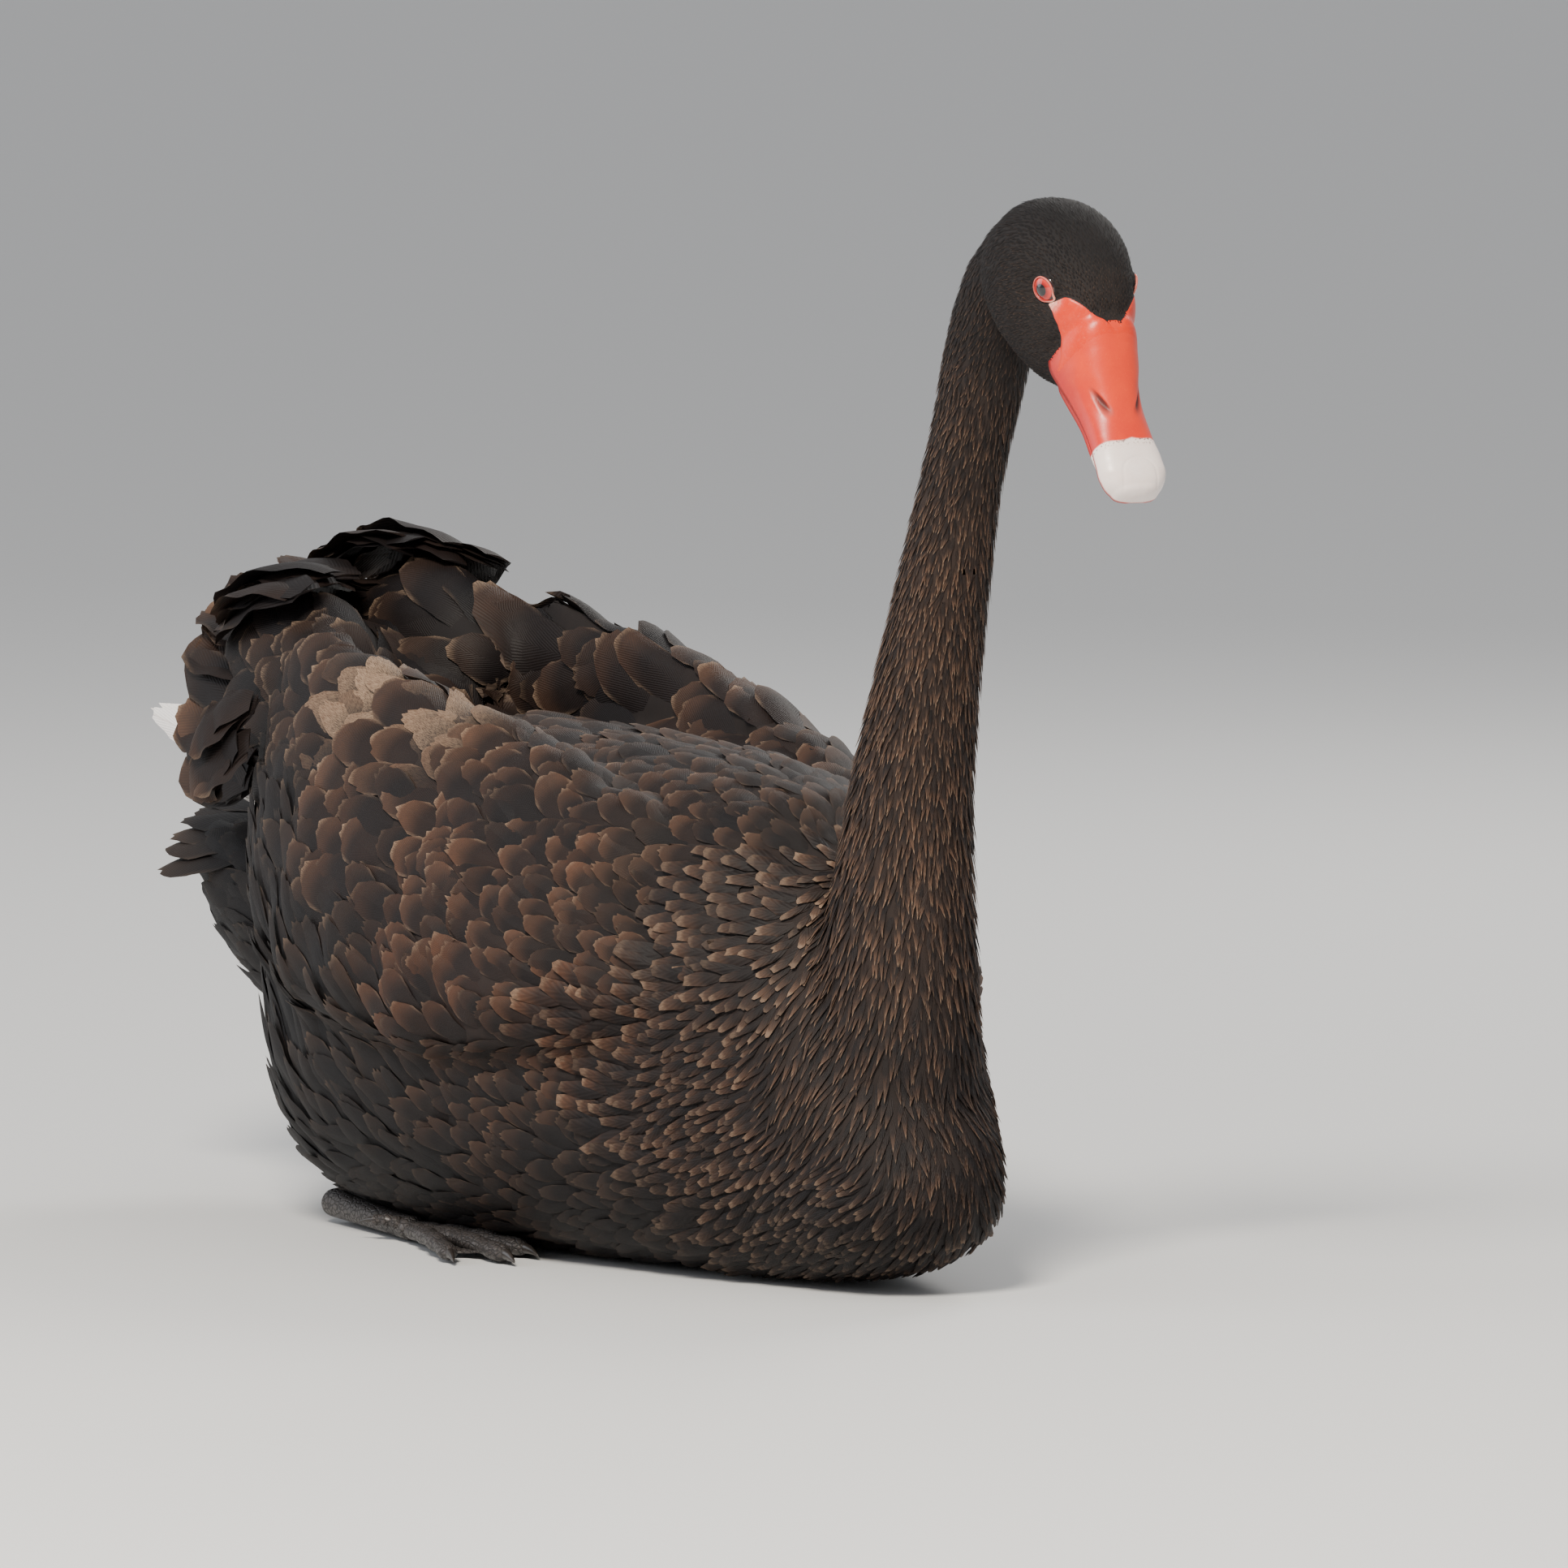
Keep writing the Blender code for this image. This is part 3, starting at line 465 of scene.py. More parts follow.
def makeSkin():
    copies = []
    for name in skin["nodes"]:
        copy = bpy.data.objects.new("skin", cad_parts[name].data.copy())
        copy.data.materials.clear()
        bpy.context.scene.collection.objects.link(copy)
        if name.startswith(("wing", "tail")):  # the solid feathers melt into one smooth form
            applied(copy, "WELD", merge_threshold=1e-6)
            onWing = name != "tail"
            voxel = skin["wingVoxel"] if onWing else skin["voxel"]
            rounds = skin["wingSmoothing"] if onWing else skin["tailSmoothing"]
            applied(copy, "REMESH", mode="VOXEL", voxel_size=voxel)
            copy = keepLargest(copy)
            applied(copy, "SMOOTH", factor=0.5, iterations=rounds)
        copies.append(copy)
    for middle, halfSizes, pitch in skin["fillers"]:
        turn = Matrix.Rotation(math.radians(pitch), 4, "Y")
        bpy.ops.mesh.primitive_uv_sphere_add(segments=32, ring_count=20, radius=1.0)
        form = bpy.context.object
        form.data.transform(Matrix.Translation(middle) @ turn @ Matrix.Diagonal((*halfSizes, 1.0)))
        copies.append(form)
    piece = joined(copies, "skin")
    bpy.ops.object.mode_set(mode="EDIT")
    bpy.ops.mesh.select_all(action="SELECT")
    bpy.ops.mesh.remove_doubles(threshold=1e-6)
    bpy.ops.object.mode_set(mode="OBJECT")
    applied(piece, "REMESH", mode="VOXEL", voxel_size=skin["voxel"])
    keepLargest(piece)
    group = piece.vertex_groups.new(name="body")
    points = meshPoints(piece.data)
    along = inHead(points)[0]
    onBody = np.nonzero((along < -0.09) | (points[:, 2] < 0.32))[0]
    group.add([int(k) for k in onBody], 1.0, "REPLACE")
    applied(piece, "SMOOTH", factor=0.5, iterations=skin["smoothing"], vertex_group="body")
    applied(piece, "SMOOTH", factor=0.5, iterations=skin["headSmoothing"])
    piece.vertex_groups.clear()
    pickFaces(piece, lambda along, up, out, z: (along > skin["front"]) & (z > head["above"]))
    bpy.ops.mesh.delete(type="FACE")
    bpy.ops.object.mode_set(mode="OBJECT")
    return piece


def keepLargest(piece):
    # drops closed scraps and sealed hollows inside
    selectOnly(piece)
    bpy.ops.object.mode_set(mode="EDIT")
    bpy.ops.mesh.select_all(action="SELECT")
    bpy.ops.mesh.separate(type="LOOSE")
    bpy.ops.object.mode_set(mode="OBJECT")
    shells = list(bpy.context.selected_objects)
    largest = max(shells, key=lambda shell: len(shell.data.vertices))
    for shell in shells:
        if shell is not largest:
            bpy.data.objects.remove(shell, do_unlink=True)
    selectOnly(largest)
    return largest


def pickFaces(piece, wanted):
    # goes into edit mode with the faces selected whose middles are wanted
    mesh = piece.data
    centres = np.empty(len(mesh.polygons) * 3)
    mesh.polygons.foreach_get("center", centres)
    centres = centres.reshape(-1, 3)
    selectOnly(piece)
    bpy.context.tool_settings.mesh_select_mode = (False, False, True)
    bpy.ops.object.mode_set(mode="EDIT")
    bpy.ops.mesh.select_all(action="DESELECT")
    bpy.ops.object.mode_set(mode="OBJECT")
    mesh.polygons.foreach_set("select", wanted(*inHead(centres), centres[:, 2]))
    bpy.ops.object.mode_set(mode="EDIT")


def carveHead(piece):
    # finer faces on the head, its front laid on the bill's base, then the sockets, sunk by the coat's depth
    back, low = skin["headFaces"]
    pickFaces(piece, lambda along, up, out, z: (along > back) & (up > low) & (z > head["above"]))
    bpy.ops.mesh.subdivide(number_cuts=1, smoothness=0.6)
    bpy.ops.object.mode_set(mode="OBJECT")
    behind, height, near, least = skin["eyeFaces"]

    def roundEye(along, up, out, z):
        return (np.hypot(along + behind, up - height) < near) & (out > least) & (z > head["above"])

    pickFaces(piece, roundEye)
    bpy.ops.mesh.subdivide(number_cuts=1, smoothness=0.3)
    bpy.ops.object.mode_set(mode="OBJECT")
    mesh = piece.data
    points, normals = meshPoints(mesh), meshNormals(mesh)
    along, up, out = inHead(points)
    onFront = smoothStep(along, -0.011, -0.004) * smoothStep(up, 0.000, 0.004)
    onFront = onFront * (points[:, 2] > head["above"])
    half, edge, ridge = np.array([throughRows(bill["upper"], value) for value in along]).T
    rise = np.maximum(up - edge, 0) / (ridge - edge)
    reach = (out / half) ** (2 / bill["corner"]) + rise ** (2 / bill["dome"])
    scale = 1 + (np.maximum(reach, 0.3) ** skin["pull"] - 1) * onFront
    points[:, 1] *= scale
    points += headUp * ((up - edge) * (scale - 1) * (onFront > 0))[:, None]
    reached, distance, _ = alongNeck(points)
    onHead = smoothStep(along, -0.085, -0.060) * smoothStep(points[:, 2], 0.33, 0.36)
    onNeck = smoothStep(reached, 0.02, 0.25) * (1 - smoothStep(distance, 0.035, 0.05))
    depth = skin["depthOnBody"] + (skin["depthOnNeck"] - skin["depthOnBody"]) * onNeck
    depth = depth + (skin["depthOnHead"] - depth) * onHead
    bare = smoothStep(bareSkin(points), -0.001, 0.001) * onHead * smoothStep(along, -0.03, -0.02)
    depth = depth * (1 - bare) + smoothStep(along, 0.0015, 0.0045) * onHead * skin["tuck"]
    nearEye = np.zeros(len(points))
    for side in sides:
        centre, look, _, _ = eyeFrame(side)
        away = points - centre
        far = np.linalg.norm(away, axis=1)
        polar = np.degrees(np.arccos(np.clip(unit(away) @ look, -1, 1)))
        inner, outer = eyes["socketAngles"]
        rise = eyes["lidRadius"] - eyes["brim"] - eyes["radius"] + eyes["behind"]
        wanted = eyes["radius"] - eyes["behind"] + rise * smoothStep(polar, inner, outer)
        share = (1 - smoothStep(polar, outer + 2, outer + 26)) * (1 - smoothStep(far, 0.0100, 0.0140))
        points = points + unit(away) * ((wanted - far) * share)[:, None]
        nearEye = np.maximum(nearEye, share)
    setPoints(mesh, points - normals * (depth * (1 - nearEye))[:, None])


eyes = {
    "along": -0.0255,  # middle of the lids in the head's frame
    "up": 0.0205,
    "centre": (-0.0275, 0.0203, 0.0138),  # of the eyeball: along, up, out
    "look": (0.34, 0.06, 0.94),  # along, up, out
    "radius": 0.0074,
    "cornea": 0.0003,
    "pupilAngle": 18.0,  # degrees from the middle
    "irisAngle": 35.0,
    "lidAngles": (36.0, 33.0),  # of the opening: along the lids and across them
    "corner": 8.0,  # how far it reaches on at the front corner
    "lidWidth": (0.00065, 0.00038),  # half widths at the front and elsewhere
    "lidRadius": 0.0076,
    "lidThickness": 0.00045,  # above and below that radius
    "socketAngles": (32.0, 46.0),
    "behind": 0.0009,  # how far the skin lies inside the eyeball's surface
    "brim": 0.0001,  # and inside the lids
}


def eyeFrame(side):
    # centre of the eye, where it looks, and the directions along and across its lids
    along, up, out = eyes["centre"]
    centre = np.array(headPlace(along, up, out * side))
    ahead, rise, aside = eyes["look"]
    look = unit(headForward * ahead + headUp * rise + np.array((0.0, aside * side, 0.0)))
    forward = unit(headForward - look * (headForward @ look))
    return centre, look, forward, np.cross(look, forward) * side


# what the coat is like at places on either side: x, out, z; heading as x, out, z;
# gap between roots, length, half width in millimetres; lightness, warmth, pale edge
coat = {
    "stations": (
        # head
        (0.352, 0.000, 0.388, -0.64, 0.00, 0.77, 1.0, 2.0, 0.34, 0.30, 0.30, 0.35),
        (0.339, 0.000, 0.411, -0.80, 0.00, 0.60, 1.1, 2.4, 0.38, 0.10, 0.15, 0.10),
        (0.323, 0.000, 0.422, -1.00, 0.00, 0.10, 1.2, 2.9, 0.42, 0.03, 0.10, 0.05),
        (0.302, 0.000, 0.423, -0.75, 0.00, -0.65, 1.3, 3.6, 0.48, 0.06, 0.15, 0.10),
        (0.283, 0.000, 0.414, -0.50, 0.00, -0.87, 1.4, 4.6, 0.56, 0.14, 0.20, 0.20),
        (0.316, 0.024, 0.383, -0.90, 0.00, -0.05, 1.1, 2.7, 0.40, 0.24, 0.30, 0.25),
        (0.300, 0.025, 0.402, -0.75, 0.00, -0.60, 1.2, 3.2, 0.46, 0.12, 0.22, 0.15),
        (0.329, 0.018, 0.375, -0.85, 0.00, 0.25, 1.0, 2.1, 0.34, 0.26, 0.30, 0.25),
        (0.316, 0.000, 0.357, -0.85, 0.00, 0.15, 1.1, 2.6, 0.40, 0.24, 0.30, 0.20),
        (0.294, 0.000, 0.371, -0.75, 0.00, -0.55, 1.4, 4.0, 0.54, 0.26, 0.35, 0.30),
        # neck
        (0.273, 0.000, 0.388, -0.49, 0.00, -0.87, 1.6, 6.0, 0.66, 0.24, 0.30, 0.35),
        (0.253, 0.000, 0.346, -0.38, 0.00, -0.92, 1.8, 8.0, 0.80, 0.55, 0.34, 0.70),
        (0.229, 0.000, 0.282, -0.31, 0.00, -0.95, 1.9, 9.5, 0.82, 0.80, 0.34, 0.90),
        (0.214, 0.000, 0.234, -0.27, 0.00, -0.96, 2.0, 10.5, 0.90, 0.80, 0.34, 0.90),
        (0.201, 0.000, 0.186, -0.20, 0.00, -0.98, 2.2, 12.0, 1.02, 0.76, 0.34, 0.85),
        (0.195, 0.000, 0.139, -0.10, 0.00, -1.00, 2.5, 13.0, 1.20, 0.64, 0.34, 0.70),
        (0.190, 0.036, 0.090, -0.30, 0.10, -0.95, 2.8, 14.0, 1.40, 0.40, 0.36, 0.45),
        (0.228, 0.000, 0.070, -0.10, 0.00, -1.00, 3.0, 14.0, 1.50, 0.36, 0.36, 0.40),
        # breast and mantle
        (0.205, 0.030, 0.025, -0.85, 0.15, -0.40, 3.4, 15.0, 1.90, 0.16, 0.30, 0.25),
        (0.150, 0.062, 0.080, -0.85, 0.15, -0.40, 3.6, 15.0, 2.20, 0.26, 0.50, 0.26),
        (0.145, 0.052, 0.150, -0.95, 0.10, -0.20, 5.0, 19.0, 3.90, 0.26, 0.42, 0.32),
        (0.145, 0.015, 0.190, -1.00, 0.05, -0.05, 6.4, 22.0, 5.00, 0.28, 0.40, 0.45),
        (0.050, 0.015, 0.205, -1.00, 0.00, 0.02, 9.0, 30.0, 7.50, 0.26, 0.42, 0.55),
        (-0.100, 0.015, 0.205, -1.00, 0.00, 0.05, 11.0, 38.0, 9.00, 0.22, 0.40, 0.55),
        # wing
        (0.105, 0.090, 0.100, -0.92, 0.05, 0.20, 5.2, 20.0, 4.10, 0.40, 0.75, 0.40),
        (0.100, 0.090, 0.145, -0.96, 0.05, 0.14, 6.6, 24.0, 5.60, 0.36, 0.60, 0.52),
        (0.100, 0.045, 0.182, -1.00, 0.05, 0.05, 7.8, 27.0, 6.60, 0.32, 0.48, 0.60),
        (0.040, 0.122, 0.100, -0.86, 0.00, 0.50, 7.4, 30.0, 6.00, 0.42, 0.80, 0.70),
        (0.040, 0.112, 0.155, -0.95, 0.00, 0.30, 8.8, 32.0, 7.60, 0.34, 0.62, 0.75),
        (0.040, 0.055, 0.198, -1.00, 0.00, 0.08, 9.6, 34.0, 8.20, 0.32, 0.50, 0.75),
        (-0.040, 0.128, 0.105, -0.72, 0.00, 0.69, 9.0, 44.0, 6.20, 0.14, 0.35, 0.45),
        (-0.040, 0.122, 0.155, -0.92, 0.00, 0.38, 10.4, 38.0, 9.20, 0.30, 0.55, 0.80),
        (-0.040, 0.085, 0.198, -0.98, 0.00, 0.20, 11.4, 42.0, 10.2, 0.36, 0.50, 0.90),
        (-0.040, 0.055, 0.214, -1.00, 0.00, 0.10, 11.4, 42.0, 10.2, 0.36, 0.48, 0.90),
        (-0.120, 0.108, 0.110, -0.48, 0.00, 0.88, 9.0, 56.0, 6.00, 0.07, 0.18, 0.35),
        (-0.120, 0.108, 0.155, -0.66, 0.00, 0.75, 10.0, 54.0, 7.40, 0.09, 0.22, 0.45),
        (-0.120, 0.082, 0.203, -0.96, 0.00, 0.26, 12.4, 48.0, 11.4, 0.28, 0.45, 0.90),
        (-0.120, 0.055, 0.230, -0.99, 0.00, 0.14, 12.4, 48.0, 11.4, 0.26, 0.42, 0.90),
        (-0.190, 0.074, 0.135, -0.50, -0.05, 0.86, 9.5, 56.0, 6.40, 0.05, 0.12, 0.35),
        (-0.190, 0.066, 0.200, -0.93, -0.05, 0.35, 12.4, 48.0, 10.6, 0.16, 0.35, 0.80),
        (-0.190, 0.040, 0.230, -1.00, 0.00, 0.10, 12.4, 46.0, 11.0, 0.14, 0.35, 0.80),
        # domes of the plumes
        (-0.240, 0.030, 0.258, -1.00, 0.00, -0.05, 11.0, 44.0, 10.5, 0.10, 0.30, 0.70),
        (-0.280, 0.030, 0.235, -0.85, 0.00, -0.52, 10.0, 36.0, 10.0, 0.12, 0.40, 0.75),
        (-0.260, 0.054, 0.205, -0.98, 0.00, 0.10, 10.0, 38.0, 9.5, 0.12, 0.40, 0.75),
        (-0.290, 0.030, 0.195, -0.98, 0.00, -0.10, 9.5, 34.0, 9.5, 0.10, 0.40, 0.70),
        # flank and belly
        (0.060, 0.104, 0.065, -0.92, 0.05, 0.35, 6.2, 25.0, 4.40, 0.26, 0.50, 0.45),
        (-0.040, 0.112, 0.060, -0.78, 0.00, 0.62, 7.6, 40.0, 5.00, 0.12, 0.26, 0.40),
        (-0.130, 0.100, 0.060, -0.55, 0.00, 0.83, 8.0, 52.0, 4.80, 0.05, 0.12, 0.30),
        (-0.190, 0.074, 0.070, -0.50, 0.00, 0.86, 8.0, 56.0, 4.80, 0.04, 0.08, 0.25),
        (0.100, 0.075, 0.020, -1.00, 0.00, 0.05, 6.0, 22.0, 4.40, 0.14, 0.22, 0.20),
        (-0.050, 0.090, 0.022, -0.98, 0.00, 0.18, 6.8, 28.0, 5.00, 0.08, 0.14, 0.15),
        (-0.150, 0.075, 0.025, -0.94, 0.00, 0.32, 7.2, 32.0, 5.20, 0.05, 0.10, 0.12),
        (0.080, 0.000, 0.000, -1.00, 0.00, 0.00, 7.2, 24.0, 5.20, 0.10, 0.18, 0.15),
        (-0.080, 0.000, 0.000, -1.00, 0.00, 0.00, 7.6, 26.0, 5.40, 0.06, 0.12, 0.12),
        # rump and under the tail
        (-0.200, 0.000, 0.030, -0.95, 0.00, 0.30, 8.0, 32.0, 5.80, 0.06, 0.08, 0.12),
        (-0.245, 0.040, 0.075, -0.85, 0.00, 0.52, 8.5, 42.0, 5.60, 0.04, 0.06, 0.12),
        (-0.290, 0.030, 0.100, -0.88, 0.00, 0.46, 8.5, 38.0, 6.40, 0.04, 0.06, 0.10),
        (-0.260, 0.020, 0.155, -1.00, 0.00, 0.04, 9.0, 38.0, 7.00, 0.06, 0.10, 0.20),
    ),
    # on one side only: painted sunlit highlight on the right shoulder's feathers (lightness near 1, pale
    # edge above 1), broad scapulars on the left wing
    "oneSided": (
        (-0.060, -0.076, 0.212, -1.00, 0.00, 0.12, 9.0, 44.0, 6.4, 1.00, 0.42, 1.60),
        (-0.020, -0.071, 0.211, -1.00, 0.00, 0.08, 9.0, 42.0, 6.4, 0.95, 0.42, 1.45),
        (0.020, 0.060, 0.205, -1.00, 0.00, 0.08, 13.0, 44.0, 11.5, 0.30, 0.55, 0.85),
        (-0.060, 0.055, 0.222, -1.00, 0.00, 0.14, 17.0, 56.0, 15.0, 0.26, 0.55, 0.95),
        (-0.060, 0.035, 0.210, -1.00, 0.00, 0.14, 17.0, 56.0, 15.0, 0.26, 0.55, 0.95),
        (-0.140, 0.055, 0.240, -0.99, 0.00, 0.16, 18.0, 58.0, 16.0, 0.22, 0.50, 0.95),
        (-0.140, 0.030, 0.225, -0.99, 0.00, 0.16, 18.0, 58.0, 16.0, 0.22, 0.50, 0.95),
    ),
    "reach": 0.007,  # how softly one station gives way to the next
    "seed": 7,
    "crowding": 6.5,  # trial roots for each that stays
    "packing": 0.75,  # of its square gap, the share that a root fills
    "bareEdge": -0.0004,  # roots keep this far behind the bare skin's edge
    "clearOfEye": 0.0050,
}


def stationTable():
    rows = [np.array(coat["stations"])]
    mirrored = rows[0].copy()
    mirrored[:, [1, 4]] *= -1
    return np.concatenate([rows[0], mirrored, np.array(coat["oneSided"])])


stations = stationTable()


def coatAt(points):
    # heading, gap, length, half width and three tones, blended from the stations near each point
    result = np.empty((len(points), stations.shape[1] - 3))
    for first in range(0, len(points), 20000):
        part = points[first:first + 20000]
        apart = ((part[:, None, :] - stations[None, :, :3]) ** 2).sum(-1) + coat["reach"] ** 2
        weight = apart ** -2.2
        weight /= weight.sum(axis=1, keepdims=True)
        result[first:first + 20000] = weight @ stations[:, 3:]
    return result


def headingOn(points, normals, blend=None):
    heading = (coatAt(points) if blend is None else blend)[:, :3]
    heading = heading - normals * (heading * normals).sum(axis=1, keepdims=True)
    return unit(heading)


def unwrap(points):
    # each place's own spot on a flat layout of the skin: body, neck and head side by side
    along, up, _ = inHead(points)
    reached, distance, _ = alongNeck(points)
    bodyTurn = np.arctan2(points[:, 1], points[:, 2] - 0.10) / (2 * math.pi) + 0.5
    ahead = points[:, 0] - 0.20 - 0.3 * (points[:, 2] - 0.15)
    neckTurn = np.arctan2(points[:, 1], ahead) / (2 * math.pi) + 0.5
    headTurn = np.arctan2(points[:, 1], up - 0.005) / (2 * math.pi) + 0.5
    spots = np.stack([0.02 + 0.70 * (points[:, 0] + 0.34) / 0.60, 0.02 + 0.96 * bodyTurn], axis=1)
    onNeck = (reached > 0.12) & (distance < 0.05)
    onHead = (along > -0.076) & (points[:, 2] > 0.335) & (up > -0.035)
    spots[onNeck] = np.stack([0.75 + 0.23 * neckTurn, 0.02 + 0.50 * reached], axis=1)[onNeck]
    spots[onHead] = np.stack([0.75 + 0.23 * headTurn, 0.56 + 0.42 * (along + 0.08) / 0.10], axis=1)[onHead]
    return np.clip(spots, 0.004, 0.996)


def scatterRoots(mesh):
    # roots spread over the skin, each as far from the next as the coat's gap there
    mesh.calc_loop_triangles()
    corners = np.empty(len(mesh.loop_triangles) * 3, dtype=np.int64)
    mesh.loop_triangles.foreach_get("vertices", corners)
    points = meshPoints(mesh)[corners.reshape(-1, 3)]
    crossed = np.cross(points[:, 1] - points[:, 0], points[:, 2] - points[:, 0])
    area = np.linalg.norm(crossed, axis=1) / 2
    gap = coatAt(points.mean(axis=1))[:, 3] / 1000
    room = area / gap ** 2
    draw = np.random.default_rng(coat["seed"])
    count = int(room.sum() * coat["crowding"] / coat["packing"])
    chosen = draw.choice(len(room), size=count, p=room / room.sum())
    first, second = draw.random(count), draw.random(count)
    folded = first + second > 1
    first[folded], second[folded] = 1 - first[folded], 1 - second[folded]
    start, sideOne, sideTwo = points[chosen].swapaxes(0, 1)
    places = start + (sideOne - start) * first[:, None] + (sideTwo - start) * second[:, None]
    gaps = gap[chosen]
    tree = KDTree(count)
    for k, place in enumerate(places):
        tree.insert(place, k)
    tree.balance()
    kept = []
    gone = np.zeros(count, dtype=bool)
    for k in range(count):
        if gone[k]:
            continue
        kept.append(k)
        for _, other, _ in tree.find_range(places[k], gaps[k]):
            gone[other] = True
    return places[kept], unit(crossed[chosen[kept]])


# kinds of feather, each for half widths below so many millimetres: rows and columns of mesh,
# how round and how ragged the end is, arch, lift of the tip, and stray from the coat's heading in degrees
vaneKinds = {
    "down": {"below": 0.75, "rows": 2, "columns": 2, "round": 0.55, "ragged": 0.0,
             "arch": 0.30, "lift": 0.10, "stray": 9},
    "wisp": {"below": 1.7, "rows": 3, "columns": 2, "round": 0.60, "ragged": 0.0,
             "arch": 0.35, "lift": 0.10, "stray": 8},
    "tuft": {"below": 4.2, "rows": 4, "columns": 4, "round": 0.50, "ragged": 0.07,
             "arch": 0.30, "lift": 0.10, "stray": 8},
    "vane": {"below": 99.0, "rows": 7, "columns": 10, "round": 0.30, "ragged": 0.034,
             "arch": 0.13, "lift": 0.065, "stray": 10},
}


def onSkin(points):
    # nearest places on the skin, and the skin's facing there
    places, facing = np.empty_like(points), np.empty_like(points)
    find = skinTree.find_nearest
    for k, point in enumerate(points):
        place, normal, _, _ = find(point)
        places[k], facing[k] = place, normal
    return places, facing


def atShare(values, share):
    # values by row, read at fractional rows given by share (feather, row, column)
    rows = values.shape[1] - 1
    position = np.clip(share, 0, 1) * rows
    low = np.minimum(position.astype(int), rows - 1)
    part = (position - low)[..., None]
    pick = np.arange(len(values))[:, None, None]
    return values[pick, low] * (1 - part) + values[pick, low + 1] * part


def vaneOutline(kind, count, draw):
    # share of the length and place across, for every point of every feather of a kind
    rows, columns = kind["rows"], kind["columns"]
    across = np.linspace(-1, 1, columns + 1)
    ends = 1 - kind["round"] * np.abs(across) ** 2.6
    ends = np.repeat(ends[None], count, axis=0)
    ragged = draw.uniform(-1, 1, (count, columns + 1)) * kind["ragged"]
    ends = ends + ragged + kind["ragged"] * 0.9 * (np.arange(columns + 1) % 2 - 0.5)
    steps = np.linspace(0, 1, rows + 1) ** 0.85
    share = steps[None, :, None] * ends[:, None, :]
    width = np.interp(share, [0.0, 0.25, 0.55, 0.8, 1.0, 1.3], [0.40, 0.78, 1.0, 1.0, 0.90, 0.8])
    return share, np.repeat(across[None, None], count, axis=0) * width


def layVanes(roots, normals, kind, draw, blend):
    # a grid of points for each feather, laid from its root along the coat's heading
    count, rows = len(roots), kind["rows"]
    length = blend[:, 4] / 1000 * draw.uniform(0.80, 1.20, count)
    half = blend[:, 5] / 1000 * draw.uniform(0.80, 1.20, count)
    stray = np.radians(draw.normal(0, kind["stray"], count))
    base = np.empty((count, rows + 1, 3))
    facing = np.empty_like(base)
    heading = np.empty_like(base)
    place, normal = roots, normals
    for row in range(rows + 1):
        if row:
            place, normal = onSkin(place + ahead * (length / rows)[:, None])
            normal = unit(normal * 0.6 + facing[:, row - 1] * 0.4)
        flow = headingOn(place, normal)
        aside = np.cross(normal, flow)
        ahead = flow * np.cos(stray)[:, None] + aside * np.sin(stray)[:, None]
        base[:, row], facing[:, row], heading[:, row] = place, normal, ahead
    share, across = vaneOutline(kind, count, draw)
    centre = atShare(base, share)
    up, forward = unit(atShare(facing, share)), unit(atShare(heading, share))
    beyond = np.maximum(share - 1, 0) * length[:, None, None]
    aside = np.cross(up, forward)
    grid = centre + forward * beyond[..., None] + aside * (across * half[:, None, None])[..., None]
    if kind["columns"] > 4:  # broad feathers follow the skin also at their sides
        flat = grid.reshape(-1, 3)
        near, nearFacing = onSkin(flat)
        grid = (near * 0.75 + flat * 0.25).reshape(grid.shape)
        up = unit(up * 0.5 + nearFacing.reshape(up.shape) * 0.5)
    lift = kind["lift"] * draw.uniform(0.6, 1.45, count)
    rise = (-0.05 + (lift[:, None, None] + 0.05) * np.clip(share, 0, 1.2) ** 0.75) * length[:, None, None]
    arched = (half * draw.uniform(0.6, 1.3, count))[:, None, None]
    arch = kind["arch"] * (1 - np.abs(across) ** 1.7) * arched
    wave = np.sin(share * 9 + draw.uniform(0, 6, count)[:, None, None])
    ruffle = wave * across * 0.06 * half[:, None, None]
    grid = grid + up * (rise + arch + ruffle)[..., None]
    return grid, share, across


bakePatch = 0.0028  # of a feather on the layout for baking


